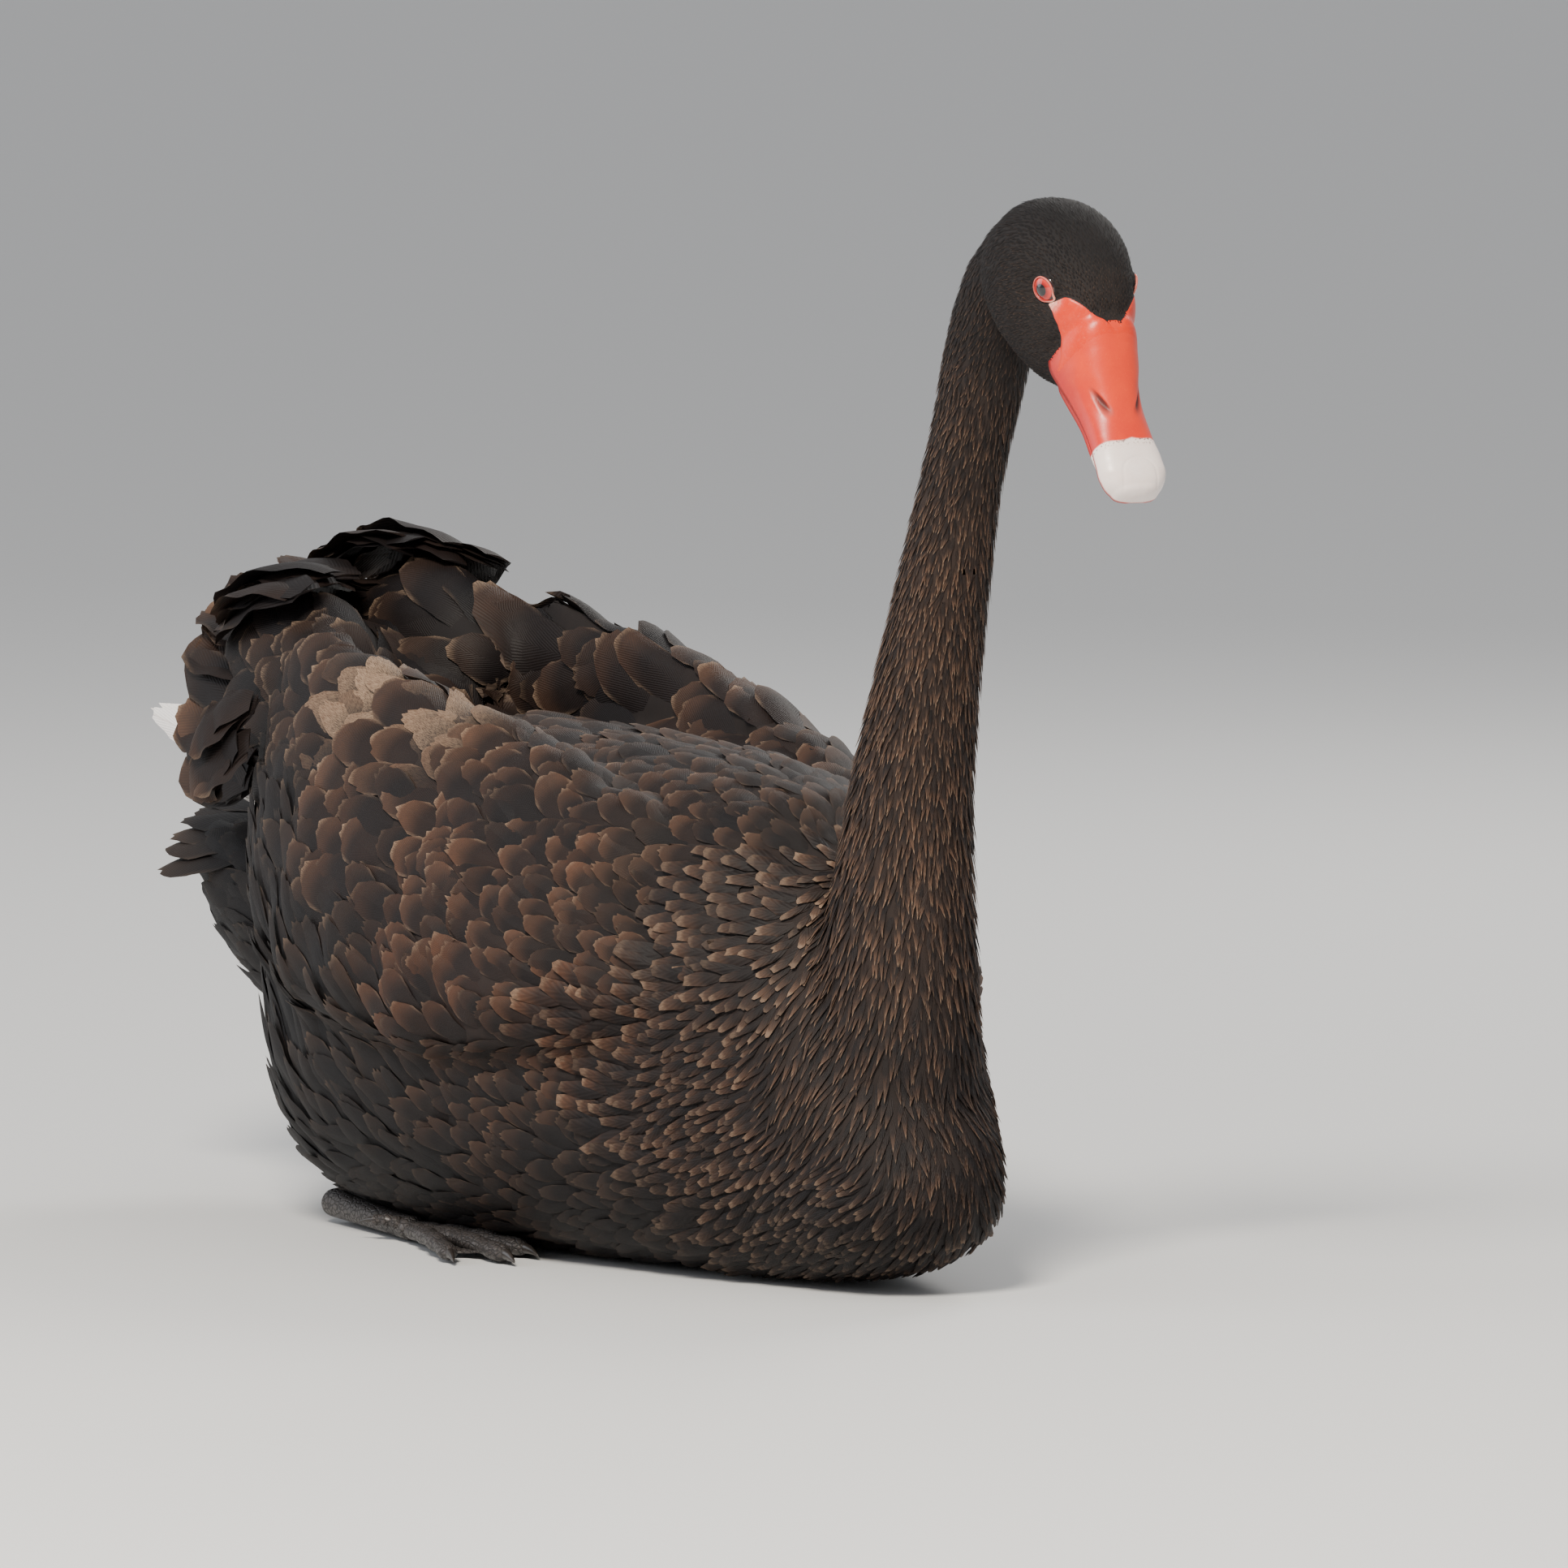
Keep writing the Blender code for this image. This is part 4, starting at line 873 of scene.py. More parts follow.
def vaneMesh(name, batches, material):
    # one mesh of closed feathers from batches of (grid, share, across, tones, root spots)
    allPoints, allCorners, allSizes, allVane, allSpots, allTones = ([] for _ in range(6))
    offset = 0
    for grid, share, across, tones, spots in batches:
        count, rowCount, columnCount, _ = grid.shape
        rows, columns = rowCount - 1, columnCount - 1
        index = np.arange(rowCount * columnCount).reshape(rowCount, columnCount)
        top = np.stack([index[:-1, :-1], index[1:, :-1], index[1:, 1:], index[:-1, 1:]], axis=-1)
        under = np.stack([index[:-1, 0], index[:-1, -1], index[1:, -1], index[1:, 0]], axis=-1)
        pattern = np.concatenate([top.reshape(-1), under.reshape(-1), index[0], index[-1][::-1]])
        sizes = np.concatenate([np.full(rows * columns + rows, 4), [columnCount, columnCount]])
        perPoint = rowCount * columnCount
        corners = (pattern[None] + (np.arange(count) * perPoint)[:, None]).reshape(-1)
        allPoints.append(grid.reshape(-1, 3))
        allCorners.append(corners + offset)
        allSizes.append(np.tile(sizes, count))
        allVane.append(np.stack([across * 0.5 + 0.5, share], axis=-1).reshape(-1, 2))
        patch = np.stack([across * bakePatch / 2, (share - 0.5) * bakePatch], axis=-1)
        allSpots.append((patch + spots[:, None, None, :]).reshape(-1, 2))
        allTones.append(np.repeat(tones, perPoint, axis=0))
        offset += count * perPoint
    points, corners, sizes = map(np.concatenate, (allPoints, allCorners, allSizes))
    mesh = bpy.data.meshes.new(name)
    mesh.vertices.add(len(points))
    mesh.vertices.foreach_set("co", points.astype(np.float32).ravel())
    mesh.loops.add(len(corners))
    mesh.loops.foreach_set("vertex_index", corners.astype(np.int32))
    mesh.polygons.add(len(sizes))
    mesh.polygons.foreach_set("loop_start", np.concatenate([[0], np.cumsum(sizes)[:-1]]).astype(np.int32))
    mesh.update(calc_edges=True)
    for layer, values in (("OFBake", np.concatenate(allSpots)), ("vane", np.concatenate(allVane))):
        uv = mesh.uv_layers.new(name=layer)
        uv.data.foreach_set("uv", values[corners].astype(np.float32).ravel())
    piece = bpy.data.objects.new(name, mesh)
    bpy.context.scene.collection.objects.link(piece)
    paint(piece, np.concatenate(allTones))
    mesh.shade_smooth()
    mesh.set_sharp_from_angle(angle=math.radians(65))
    mesh.materials.append(material)
    mesh.validate()
    print(f"{name}: {int((sizes - 2).sum())} triangles")
    return piece


plumage = {
    "dark": (0.0024, 0.0020, 0.0028),
    "greyBrown": (0.070, 0.046, 0.032),
    "rufous": (0.085, 0.032, 0.015),
    "pale": (0.27, 0.185, 0.125),
}


def plumageColour(light, warm, edge):
    # the coat's colour from its lightness, its warmth and how much of the pale edge shows
    cool = light.mix(plumage["dark"], plumage["greyBrown"])
    brown = light.mix(plumage["dark"], plumage["rufous"])
    return edge.mix(warm.mix(cool, brown), plumage["pale"])


def plumageMaterial(name, edgeStart, barbs, sweep):
    # edgeStart is where the pale end begins, sweep how far it runs back along the sides
    material, inputs, place = newMaterial(name, 0.5, Specular_IOR_Level=0.22)
    light, warm, pale, chance = place.painted()
    across, along, _ = place.onVane().parts()
    across = abs(across * 2 - 1)
    patches = place.noise(55.0, 3.0)
    threads = place.onVane().stretched(3.0, 1.0, 1.0).noise(14.0, 4.0, 0.7)
    comb = (along * barbs - across * barbs * 0.55).sine()
    ends = along + across * across * sweep
    light = light * (0.40 + patches * 1.2) * (0.35 + chance * 1.3)
    light = light * (0.22 + ends.step(edgeStart - 0.32, edgeStart + 0.04))
    light = light * (1 + comb * 0.12) * (0.6 + threads * 0.8)
    rim = ends.step(edgeStart, edgeStart + 0.14).most(across.step(0.80, 1.0) * along.step(0.35, 0.8) * 0.5)
    rim = rim * pale * (0.25 + chance * 0.85) * (0.20 + threads.step(0.30, 0.65) * 0.95)
    # painted highlight: a pale edge above 1, used only on the right shoulder, adds light streaks that stand
    # for sunlight
    paintedHighlight = (pale - 1.0).most(0.0) * (threads.step(0.32, 0.62) * 1.5 + 0.1) * along.step(0.2, 0.8)
    rim = rim.most(paintedHighlight)
    colour = plumageColour(light, warm * (0.6 + patches * 0.8), rim)
    relief = (comb * 0.5 + threads).bump(0.0002, 0.5)
    feed(inputs, Base_Color=colour, Roughness=0.50 + threads * 0.25, Normal=relief)
    return material


def hornColour(place, height):
    # the orange-red of bill and bare skin: redder low on the sides as the bill is, and lighter orange high
    # up, partly painted highlight
    soft, fine = place.noise(150.0, 4.0, 0.6), place.noise(1400.0, 3.0, 0.6)
    # the higher up, the lighter orange: this is partly painted highlight on the top of the bill
    red = (height * 0.8 + soft * 0.6 - 0.25).mix((0.44, 0.005, 0.003), (0.68, 0.036, 0.002))
    return (fine.step(0.55, 0.8) * 0.30).mix(red, (0.82, 0.12, 0.02))


def hornBump(place):
    return (place.noise(150.0, 4.0, 0.6) * 0.6 + place.noise(1400.0, 3.0, 0.6) * 0.25).bump(0.0003, 0.35)


def skinMaterial():
    # bare skin before the eyes, and under the coat the coat's own markings
    material, inputs, place = newMaterial("skin", 0.6, Specular_IOR_Level=0.35)
    light, warm, bare, towardsEye = place.painted()
    streaks = place.stretched(1.0, 1.0, 0.35).noise(260.0, 4.0, 0.65)
    feathered = plumageColour(light * (0.10 + streaks * 0.4), warm, streaks.step(0.60, 0.85) * 0.05 * light)
    wrinkles = place.noise(900.0, 3.0, 0.6)
    pink = wrinkles.step(0.3, 0.7).mix((0.62, 0.20, 0.14), (0.80, 0.42, 0.33))
    flesh = (towardsEye + wrinkles * 0.3 - 0.15).mix(hornColour(place, 0.85), pink)
    colour = bare.step(0.4, 0.6).mix(feathered, flesh)
    feed(inputs, Base_Color=colour, Roughness=0.85 - bare * 0.52, Normal=hornBump(place))
    return material


skinPiece = makeSkin()
carveHead(skinPiece)
skinTree = BVHTree.FromPolygons(
    [tuple(point) for point in meshPoints(skinPiece.data)],
    [tuple(polygon.vertices) for polygon in skinPiece.data.polygons],
)
skinPoints = meshPoints(skinPiece.data)
skinBlend = coatAt(skinPoints)
bareness = smoothStep(bareSkin(skinPoints), -0.0006, 0.0006)
bareness = bareness * smoothStep(inHead(skinPoints)[0], -0.03, -0.02)
bareness = bareness * smoothStep(skinPoints[:, 2], 0.330, 0.340)
eyeFronts = [np.array(headPlace(-0.0225, 0.0200, 0.0185 * side)) for side in sides]
toEye = np.minimum(*(np.linalg.norm(skinPoints - front, axis=1) for front in eyeFronts))
pinkness = 1 - smoothStep(toEye, 0.003, 0.008)
paint(skinPiece, np.stack([skinBlend[:, 6], skinBlend[:, 7], bareness, pinkness], axis=1))
skinPiece.data.shade_smooth()
finished(skinPiece, skinMaterial(), "plumage", "torso", "neck_lower", "neck_upper", "head")
print("skin made,", len(skinPoints), "points")

tuftLook = plumageMaterial("softFeathers", 0.80, 26.0, 0.12)
vaneLook = plumageMaterial("wideFeathers", 0.92, 140.0, 0.10)
plumeLook = plumageMaterial("plumes", 0.93, 110.0, 0.05)


def coatZone(points):
    # the piece of the coat that each root belongs to
    along, up, _ = inHead(points)
    reached, distance, _ = alongNeck(points)
    zone = np.full(len(points), "coat_breast", dtype=object)
    zone[(points[:, 0] < 0.115) & (points[:, 2] <= 0.085)] = "coat_belly"
    zone[(points[:, 0] < 0.115) & (points[:, 2] > 0.085)] = "coat_back"
    wing = (points[:, 0] < 0.115) & (points[:, 2] > 0.085) & (points[:, 0] > -0.225)
    zone[wing & (points[:, 1] < -0.03)] = "coat_wing_right"
    zone[wing & (points[:, 1] > 0.03)] = "coat_wing_left"
    zone[points[:, 0] < -0.225] = "coat_rump"
    zone[(reached > 0.08) & (distance < 0.05)] = "coat_neck_lower"
    zone[(reached > 0.45) & (distance < 0.05)] = "coat_neck_upper"
    onHead = (along > -0.080) & (points[:, 2] > 0.34) & (up > -0.036)
    zone[onHead & (points[:, 1] < 0)] = "coat_head_right"
    zone[onHead & (points[:, 1] >= 0)] = "coat_head_left"
    return zone


def makeCoat():
    places, normals = scatterRoots(skinPiece.data)
    along, up, out = inHead(places)
    onHead = (along > -0.05) & (places[:, 2] > 0.33)
    toEye = np.hypot(along - eyes["along"], (up - eyes["up"]) * 1.1)
    clear = ~(onHead & (bareSkin(places) > coat["bareEdge"]))
    clear = clear & ~(onHead & (out > 0.008) & (toEye < coat["clearOfEye"]))
    places, normals = places[clear], normals[clear]
    blend = coatAt(places)
    zones = coatZone(places)
    spots = unwrap(places)
    draw = np.random.default_rng(coat["seed"] + 1)
    chance = draw.random(len(places))
    made = {}
    lower = 0.0
    for kindName, kind in vaneKinds.items():
        ofKind = (blend[:, 5] >= lower) & (blend[:, 5] < kind["below"])
        lower = kind["below"]
        for zone in sorted(set(zones[ofKind])):
            pick = ofKind & (zones == zone)
            grid, share, across = layVanes(places[pick], normals[pick], kind, draw, blend[pick])
            tones = np.column_stack([blend[pick][:, 6:9], chance[pick]])
            batch = (grid, share, across, tones, spots[pick])
            made.setdefault(zone, {}).setdefault(kindName == "vane", []).append(batch)
    pieces = {}
    for zone, groups in made.items():
        for wide, batches in groups.items():
            name = zone + ("_wide" if wide and len(groups) > 1 else "")
            pieces[name] = vaneMesh(name, batches, vaneLook if wide else tuftLook)
    return pieces


coatPieces = makeCoat()
for name, piece in coatPieces.items():
    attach(piece, "root")
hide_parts("wing_right")
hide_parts("wing_left")
print("coat made")


# curled plumes at the rear of the wings: root, bend and tip as x, out, z; half width; roll
plumes = {
    "paths": (
        ((-0.190, 0.016, 0.216), (-0.240, 0.012, 0.290), (-0.300, 0.012, 0.238), 0.0160, 0.0),
        ((-0.180, 0.028, 0.218), (-0.232, 0.030, 0.288), (-0.294, 0.028, 0.240), 0.0165, 8.0),
        ((-0.172, 0.038, 0.220), (-0.220, 0.046, 0.278), (-0.278, 0.044, 0.234), 0.0160, 22.0),
        ((-0.200, 0.020, 0.210), (-0.252, 0.020, 0.262), (-0.310, 0.018, 0.224), 0.0160, 4.0),
        ((-0.195, 0.018, 0.208), (-0.280, 0.014, 0.234), (-0.332, 0.012, 0.248), 0.0140, 0.0),
        ((-0.195, 0.028, 0.204), (-0.277, 0.028, 0.224), (-0.328, 0.024, 0.240), 0.0130, 10.0),
        ((-0.195, 0.036, 0.199), (-0.271, 0.040, 0.212), (-0.320, 0.032, 0.226), 0.0125, 28.0),
        ((-0.195, 0.042, 0.194), (-0.265, 0.050, 0.200), (-0.311, 0.040, 0.211), 0.0125, 46.0),
        ((-0.195, 0.046, 0.188), (-0.260, 0.057, 0.188), (-0.305, 0.046, 0.198), 0.0120, 62.0),
        ((-0.190, 0.048, 0.180), (-0.250, 0.062, 0.173), (-0.294, 0.052, 0.180), 0.0130, 74.0),
        ((-0.172, 0.056, 0.210), (-0.210, 0.078, 0.214), (-0.232, 0.078, 0.194), 0.0130, 60.0),
        ((-0.172, 0.060, 0.196), (-0.208, 0.083, 0.195), (-0.230, 0.081, 0.175), 0.0125, 72.0),
    ),
    "lift": {-1: -0.004, 1: 0.005},
    "copies": 4,  # feathers for each path
    "spread": 0.0042,  # of the copies' ends
    "start": 0.42,  # how far along its path each begins
    "ruffle": 0.09,
    "tones": (0.42, 0.40, 0.75),
    "seed": 21,
}
primaries = {
    "paths": (
        ((-0.205, 0.034, 0.166), (-0.268, 0.048, 0.180), (-0.336, 0.048, 0.192), 0.0090, 70.0),
        ((-0.205, 0.031, 0.160), (-0.262, 0.043, 0.171), (-0.324, 0.040, 0.183), 0.0090, 66.0),
        ((-0.205, 0.028, 0.154), (-0.256, 0.038, 0.163), (-0.310, 0.032, 0.174), 0.0090, 62.0),
    ),
    "copies": 2,
    "spread": 0.0025,
    "ruffle": 0.05,
    "tones": (1.0, 0.2, 1.0),
    "seed": 22,
}
tail = {
    "feathers": 16,
    "root": (-0.236, 0.152),  # x, z
    "length": (0.104, 0.090),  # of the middle feathers and of the outer ones
    "spread": math.radians(30.0),
    "gather": 0.62,
    "halfBase": 0.028,
    "rise": 0.004,
    "droop": 0.016,
    "arch": 0.006,
    "ruffle": 0.03,
    "halfWidth": 0.0125,
    "tones": (0.20, 0.10, 0.35),
    "seed": 23,
}
longKind = {"rows": 14, "columns": 10, "round": 0.24, "ragged": 0.022, "arch": 0.22}


def bezier(ends, share):
    root, bend, tip = (np.array(point, dtype=float) for point in ends)
    share = share[..., None]
    return root * (1 - share) ** 2 + bend * 2 * share * (1 - share) + tip * share ** 2


def layPlume(ends, half, face, draw, ruffle, twist):
    # one long feather along a curve, its face towards face and turned by twist from root to tip
    share, across = vaneOutline(longKind, 1, draw)
    centre = bezier(ends, share)
    ahead = unit(bezier(ends, share + 0.01) - bezier(ends, share - 0.01))
    up = np.broadcast_to(np.array(face, dtype=float), ahead.shape)
    up = unit(up - ahead * (ahead * up).sum(-1, keepdims=True))
    aside = np.cross(up, ahead)
    turn = (twist * share)[..., None]
    up, aside = up * np.cos(turn) + aside * np.sin(turn), aside * np.cos(turn) - up * np.sin(turn)
    wave = np.sin(share * draw.uniform(14, 22) + draw.uniform(0, 6) + np.sign(across) * 1.3)
    rise = longKind["arch"] * (1 - np.abs(across) ** 1.6) + wave * ruffle * np.abs(across) ** 1.5
    grid = centre + aside * (across * half)[..., None] + up * (rise * half)[..., None]
    return grid, share, across


def joinedPlumes(name, rows, tones, draw, material):
    # rows of (ends, half width, face, ruffle, twist) made one mesh
    grids = [layPlume(ends, half, face, draw, ruffle, twist) for ends, half, face, ruffle, twist in rows]
    grid, share, across = (np.concatenate(parts) for parts in zip(*grids))
    count = len(rows)
    toned = np.tile(tones, (count, 1)) * draw.uniform(0.7, 1.3, (count, 3))
    toned = np.clip(np.column_stack([toned, draw.random(count)]), 0, 1)
    spots = unwrap(grid[:, 0].mean(axis=1))
    piece = vaneMesh(name, [(grid, share, across, toned, spots)], material)
    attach(piece, "root")
    return piece


def rowsFromPaths(settings, side, draw):
    rows = []
    lift = settings.get("lift", {}).get(side, 0.0)
    for root, bend, tip, half, roll in settings["paths"]:
        for copy in range(settings["copies"]):
            ends = np.array((root, bend, tip)) * np.array((1, side, 1))
            ends[1, 2] += 2 * lift
            ends[2, 2] += lift
            start = settings.get("start", 0.0)
            ends[:2] = bezier(ends, np.array(start)), ends[1] + (ends[2] - ends[1]) * start
            loose = np.array((0.6, 1.0, 0.8))[:, None] * (copy > 0)  # root, bend and tip
            ends += draw.normal(0, 1, (3, 3)) * settings["spread"] * loose
            angle = math.radians(roll + draw.normal(0, 9) * (copy > 0))
            face = (0.0, side * math.sin(angle), math.cos(angle))
            width = half * draw.uniform(0.85, 1.08)
            rows.append((ends, width, face, settings["ruffle"], draw.normal(0, 0.25)))
    return rows


def makePlumes():
    for side in sides:
        draw = np.random.default_rng(plumes["seed"] + side)
        rows = rowsFromPaths(plumes, side, draw)
        piece = joinedPlumes("plumes_" + sideNames[side], rows, plumes["tones"], draw, plumeLook)
        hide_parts("tertials_" + sideNames[side])
        draw = np.random.default_rng(primaries["seed"] + side)
        rows = rowsFromPaths(primaries, side, draw)
        piece = joinedPlumes("white_" + sideNames[side], rows, primaries["tones"], draw, whiteLook)
        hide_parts("primaries_" + sideNames[side])


def makeTail():
    draw = np.random.default_rng(tail["seed"])
    rows = []
    for k in range(tail["feathers"]):
        across = 2 * k / (tail["feathers"] - 1) - 1
        outer = across ** 2
        turn = across * tail["spread"]
        length = tail["length"][0] + (tail["length"][1] - tail["length"][0]) * outer
        height = tail["root"][1] - 0.008 * outer + 0.0008 * (k % 2)  # neighbours overlap
        root = np.array((tail["root"][0], across * tail["halfBase"], height))
        tip = root + np.array((-length * math.cos(turn), length * math.sin(turn) * tail["gather"], 0.0))
        tip[2] += tail["rise"] * (1 - outer) - tail["droop"] * outer
        bend = (root + tip) / 2 + np.array((0, 0, tail["arch"]))
        face = (0.0, math.sin(turn), math.cos(turn))
        rows.append(((root, bend, tip), tail["halfWidth"], face, tail["ruffle"], 0.0))
    piece = joinedPlumes("tail_feathers", rows, tail["tones"], draw, plumeLook)
    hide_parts("tail")


def whiteMaterial():
    material, inputs, place = newMaterial("whiteFeathers", 0.5, Sheen_Weight=0.1)
    across, along, _ = place.onVane().parts()
    across = abs(across * 2 - 1)
    comb = (along * 90.0 - across * 50.0).sine()
    shade = place.noise(60.0, 3.0) * 0.5 + comb * 0.08
    shaft = 1 - across.step(0.03, 0.08)
    colour = shade.most(shaft * 0.6).mix((0.86, 0.84, 0.82), (0.55, 0.48, 0.46))
    feed(inputs, Base_Color=colour, Normal=comb.bump(0.0002, 0.4))
    return material


whiteLook = whiteMaterial()
makePlumes()
makeTail()
print("plumes and tail made")


def inSlit(along, up, size):
    # 1 inside an oval about the nostril, falling to 0 beyond it
    middle, height, turn = bill["nostril"]
    x = (along - middle) * math.cos(turn) + (up - height) * math.sin(turn)
    y = (up - height) * math.cos(turn) - (along - middle) * math.sin(turn)
    return 1.0 - float(smoothStep(math.hypot(x / size[0], y / size[1]), 0.35, 1.40))


def billRow(rows, share):
    along = rows[0][0] + (rows[-1][0] - rows[0][0]) * (1 - (1 - share) ** bill["reach"])
    return along, *throughRows(rows, along)


def billPlace(share, along, middle, up, out):
    # a point of either half, drawn together where the form closes at its ends
    closing = min(1.0, math.sin(math.pi * share) * 14)
    return headPlace(along, middle + (up - middle) * closing, out * closing)


def upperPlace(share, angle):
    along, half, edge, ridge = billRow(bill["upper"], share)
    cosine, sine = math.cos(angle), math.sin(angle)
    out = math.copysign(abs(cosine) ** bill["corner"], cosine) * half
    up = edge + (ridge - edge) * max(sine, 0.0) ** bill["dome"]
    if sine < 0:  # the roof of the mouth, behind a thin lip
        up += bill["roof"] * min(1.0, -sine * 2.0) * (1 - share)
        out -= math.copysign(min(bill["wall"], abs(out)) * min(1.0, -sine * 6), out)
    pressed = sum(inSlit(along, up, bill[name]) * bill[name][2] for name in ("slit", "hollow"))
    if sine > 0.05:
        out -= math.copysign(min(pressed, abs(out) * 0.7), out)
    start, width, groove = bill["nail"]
    toNail = math.hypot(out / width, max(0.0, start + 0.006 - along) / 0.006) - 1
    up -= groove * math.exp(-(toNail / 0.07) ** 2) * (sine > 0) * (along > start - 0.002)
    sunk = 1 - bill["sunk"] * (1 - float(smoothStep(along, -0.0100, 0.0012)))
    return billPlace(share, along, (edge + ridge) / 2, edge + (up - edge) * sunk, out * sunk)


def lowerPlace(share, angle):
    along, half, keel, edge = billRow(bill["lower"], share)
    cosine, sine = math.cos(angle), math.sin(angle)
    out = math.copysign(abs(cosine) ** bill["corner"], cosine) * half
    out *= 1 - 0.14 * (1 - float(smoothStep(along, -0.004, 0.005)))
    up = edge - (edge - keel) * max(-sine, 0.0) ** bill["dome"] - 0.0003
    return billPlace(share, along, (edge + keel) / 2, up, out)


def billTones(piece, isUpper):
    # pale tip, painted shade in the nostril, height on the side (partly painted highlight on the top),
    # nearness to the eye
    points = meshPoints(piece.data)
    along, up, out = inHead(points)
    wave = 0.0006 * np.sin(out * 420) - 0.0005 * np.sin(points[:, 1] * 190 + 0.8)
    tip = smoothStep(along, bill["band"] + wave - 0.0003, bill["band"] + wave + 0.0004)
    nostrilShade = np.array([inSlit(a, u, (0.0056, 0.0011)) * (o > 0.004) for a, u, o in zip(along, up, out)])
    if isUpper:
        edges = np.array([throughRows(bill["upper"], a)[1] for a in along])
        tip = tip * smoothStep(up - edges, 0.0004, 0.0010)
    else:
        nostrilShade = nostrilShade * 0.0
    # height on the side, which also makes the top lighter orange as painted highlight
    height = smoothStep(up, 0.0, 0.016)
    paint(piece, np.stack([tip, nostrilShade, height, smoothStep(along, 0.004, -0.012)], axis=1))


def billMaterial():
    material, inputs, place = newMaterial("bill", 0.33, Coat_Weight=0.08, Coat_Roughness=0.25)
    tip, nostrilShade, height, _ = place.painted()
    fine = place.noise(1400.0, 3.0, 0.6)
    specks = place.noise(1100.0, 2.0, 0.5).step(0.56, 0.62)
    sockets = {0: place, 1: tuple(headForward)}
    reach = place.node("ShaderNodeVectorMath", {"operation": "DOT_PRODUCT"}, sockets, 1)
    near = tip.step(0.02, 0.5) * (1 - reach.step(bandReach, bandReach + 0.0035))
    pale = place.noise(150.0, 4.0, 0.6).mix((0.88, 0.80, 0.76), (0.74, 0.60, 0.54))
    colour = tip.mix(hornColour(place, height), pale)
    colour = (near * specks * 0.9).mix(colour, (0.16, 0.06, 0.05))
    # painted shade: the nostril's hollow is coloured dark red
    colour = nostrilShade.mix(colour, (0.07, 0.002, 0.001))
    feed(inputs, Base_Color=colour, Roughness=0.28 + fine * 0.16 + nostrilShade * 0.5, Normal=hornBump(place))
    return material


bandReach = float(np.array(head["origin"]) @ headForward) + bill["band"]


def makeBill():
    look = billMaterial()
    for half, place in (("upper", upperPlace), ("lower", lowerPlace)):
        piece = shapedBall(half + "_bill", bill["segments"], bill["rings"], place)
        billTones(piece, half == "upper")
        finished(piece, look, "bill", "bill_" + half)


def makeEyes():
    looks = eyeMaterial(), lidMaterial()
    for side in sides:
        centre, look, forward, across = eyeFrame(side)

        def ballPlace(share, angle):
            polar = share * math.pi
            reach = eyes["radius"] + eyes["cornea"] * math.exp(-(math.degrees(polar) / 27) ** 2)
            ring = forward * math.cos(angle) + across * math.sin(angle)
            return Vector(centre + (look * math.cos(polar) + ring * math.sin(polar)) * reach)

        ball = shapedBall("eyeball_" + sideNames[side], 96, 72, ballPlace)
        points = meshPoints(ball.data) - centre
        polar = np.degrees(np.arccos(np.clip(unit(points) @ look, -1, 1)))
        spin = np.arctan2(points @ across, points @ forward)
        turned = (np.cos(spin) * 0.5 + 0.5, np.sin(spin) * 0.5 + 0.5)
        paint(ball, np.stack([polar / 90, *turned, np.ones(len(polar))], axis=1))
        finished(ball, looks[0], "eye", "eye_" + sideNames[side])
        bpy.ops.mesh.primitive_torus_add(
            major_segments=96, minor_segments=20, major_radius=1.0, minor_radius=0.5)
        lid = bpy.context.object
        lid.name = lid.data.name = "lids_" + sideNames[side]
        wide, high = eyes["lidAngles"]
        atFront, elsewhere = eyes["lidWidth"]
        tones = []
        for vertex in lid.data.vertices:
            around = math.atan2(vertex.co.y, vertex.co.x)
            inner = (math.hypot(vertex.co.x, vertex.co.y) - 1) / 0.5
            proud = vertex.co.z / 0.5
            front = math.exp(-(around / 0.42) ** 2)
            polar = 1 / math.hypot(math.cos(around) / wide, math.sin(around) / high)
            polar = math.radians(polar + eyes["corner"] * math.exp(-(around / 0.28) ** 2))
            width = elsewhere + (atFront - elsewhere) * front
            polar += (inner * width + width) / eyes["radius"]
            ring = forward * math.cos(around) + across * math.sin(around)
            reach = eyes["lidRadius"] + proud * eyes["lidThickness"]
            vertex.co = Vector(centre + (look * math.cos(polar) + ring * math.sin(polar)) * reach)
            tones.append((inner * 0.5 + 0.5, front, proud * 0.5 + 0.5, 1.0))
        faceOutwards(lid)
        paint(lid, tones)
        finished(lid, looks[1], "bill")


def eyeMaterial():
    material, inputs, place = newMaterial("eye", 0.12, Coat_Weight=1.0, Coat_Roughness=0.02, Coat_IOR=1.38)
    tone = place.node("ShaderNodeAttribute", {"attribute_name": "tone"}, {}, 1)
    polar, cosine, sine = tone.parts()
    streaks = tone.stretched(1.2, 9.0, 9.0).noise(3.0, 4.0, 0.7)
    pupil, iris = eyes["pupilAngle"] / 90, eyes["irisAngle"] / 90
    inside = polar.step(pupil, iris)
    red = (inside * 0.9 + streaks * 0.35 - 0.1).mix((0.20, 0.004, 0.003), (0.62, 0.030, 0.018))
    red = (polar.step(iris - 0.03, iris + 0.03)).mix(red, (0.015, 0.002, 0.002))
    colour = polar.step(pupil - 0.012, pupil + 0.014).mix((0.002, 0.002, 0.003), red)
    feed(inputs, Base_Color=colour)
    return material


def lidMaterial():
    soft = {"Subsurface_Weight": 0.1, "Subsurface_Radius": (0.002, 0.0008, 0.0005)}
    material, inputs, place = newMaterial("lids", 0.42, Coat_Weight=0.1, **soft)
    outer, front, _, _ = place.painted()
    grain = place.noise(1600.0, 3.0, 0.6)
    colour = (front * 0.8 + grain * 0.35).mix((0.42, 0.050, 0.030), (0.80, 0.42, 0.33))
    colour = outer.step(0.35, 0.0).mix(colour, (0.30, 0.020, 0.014))
    feed(inputs, Base_Color=colour, Normal=grain.bump(0.0002, 0.4))
    return material


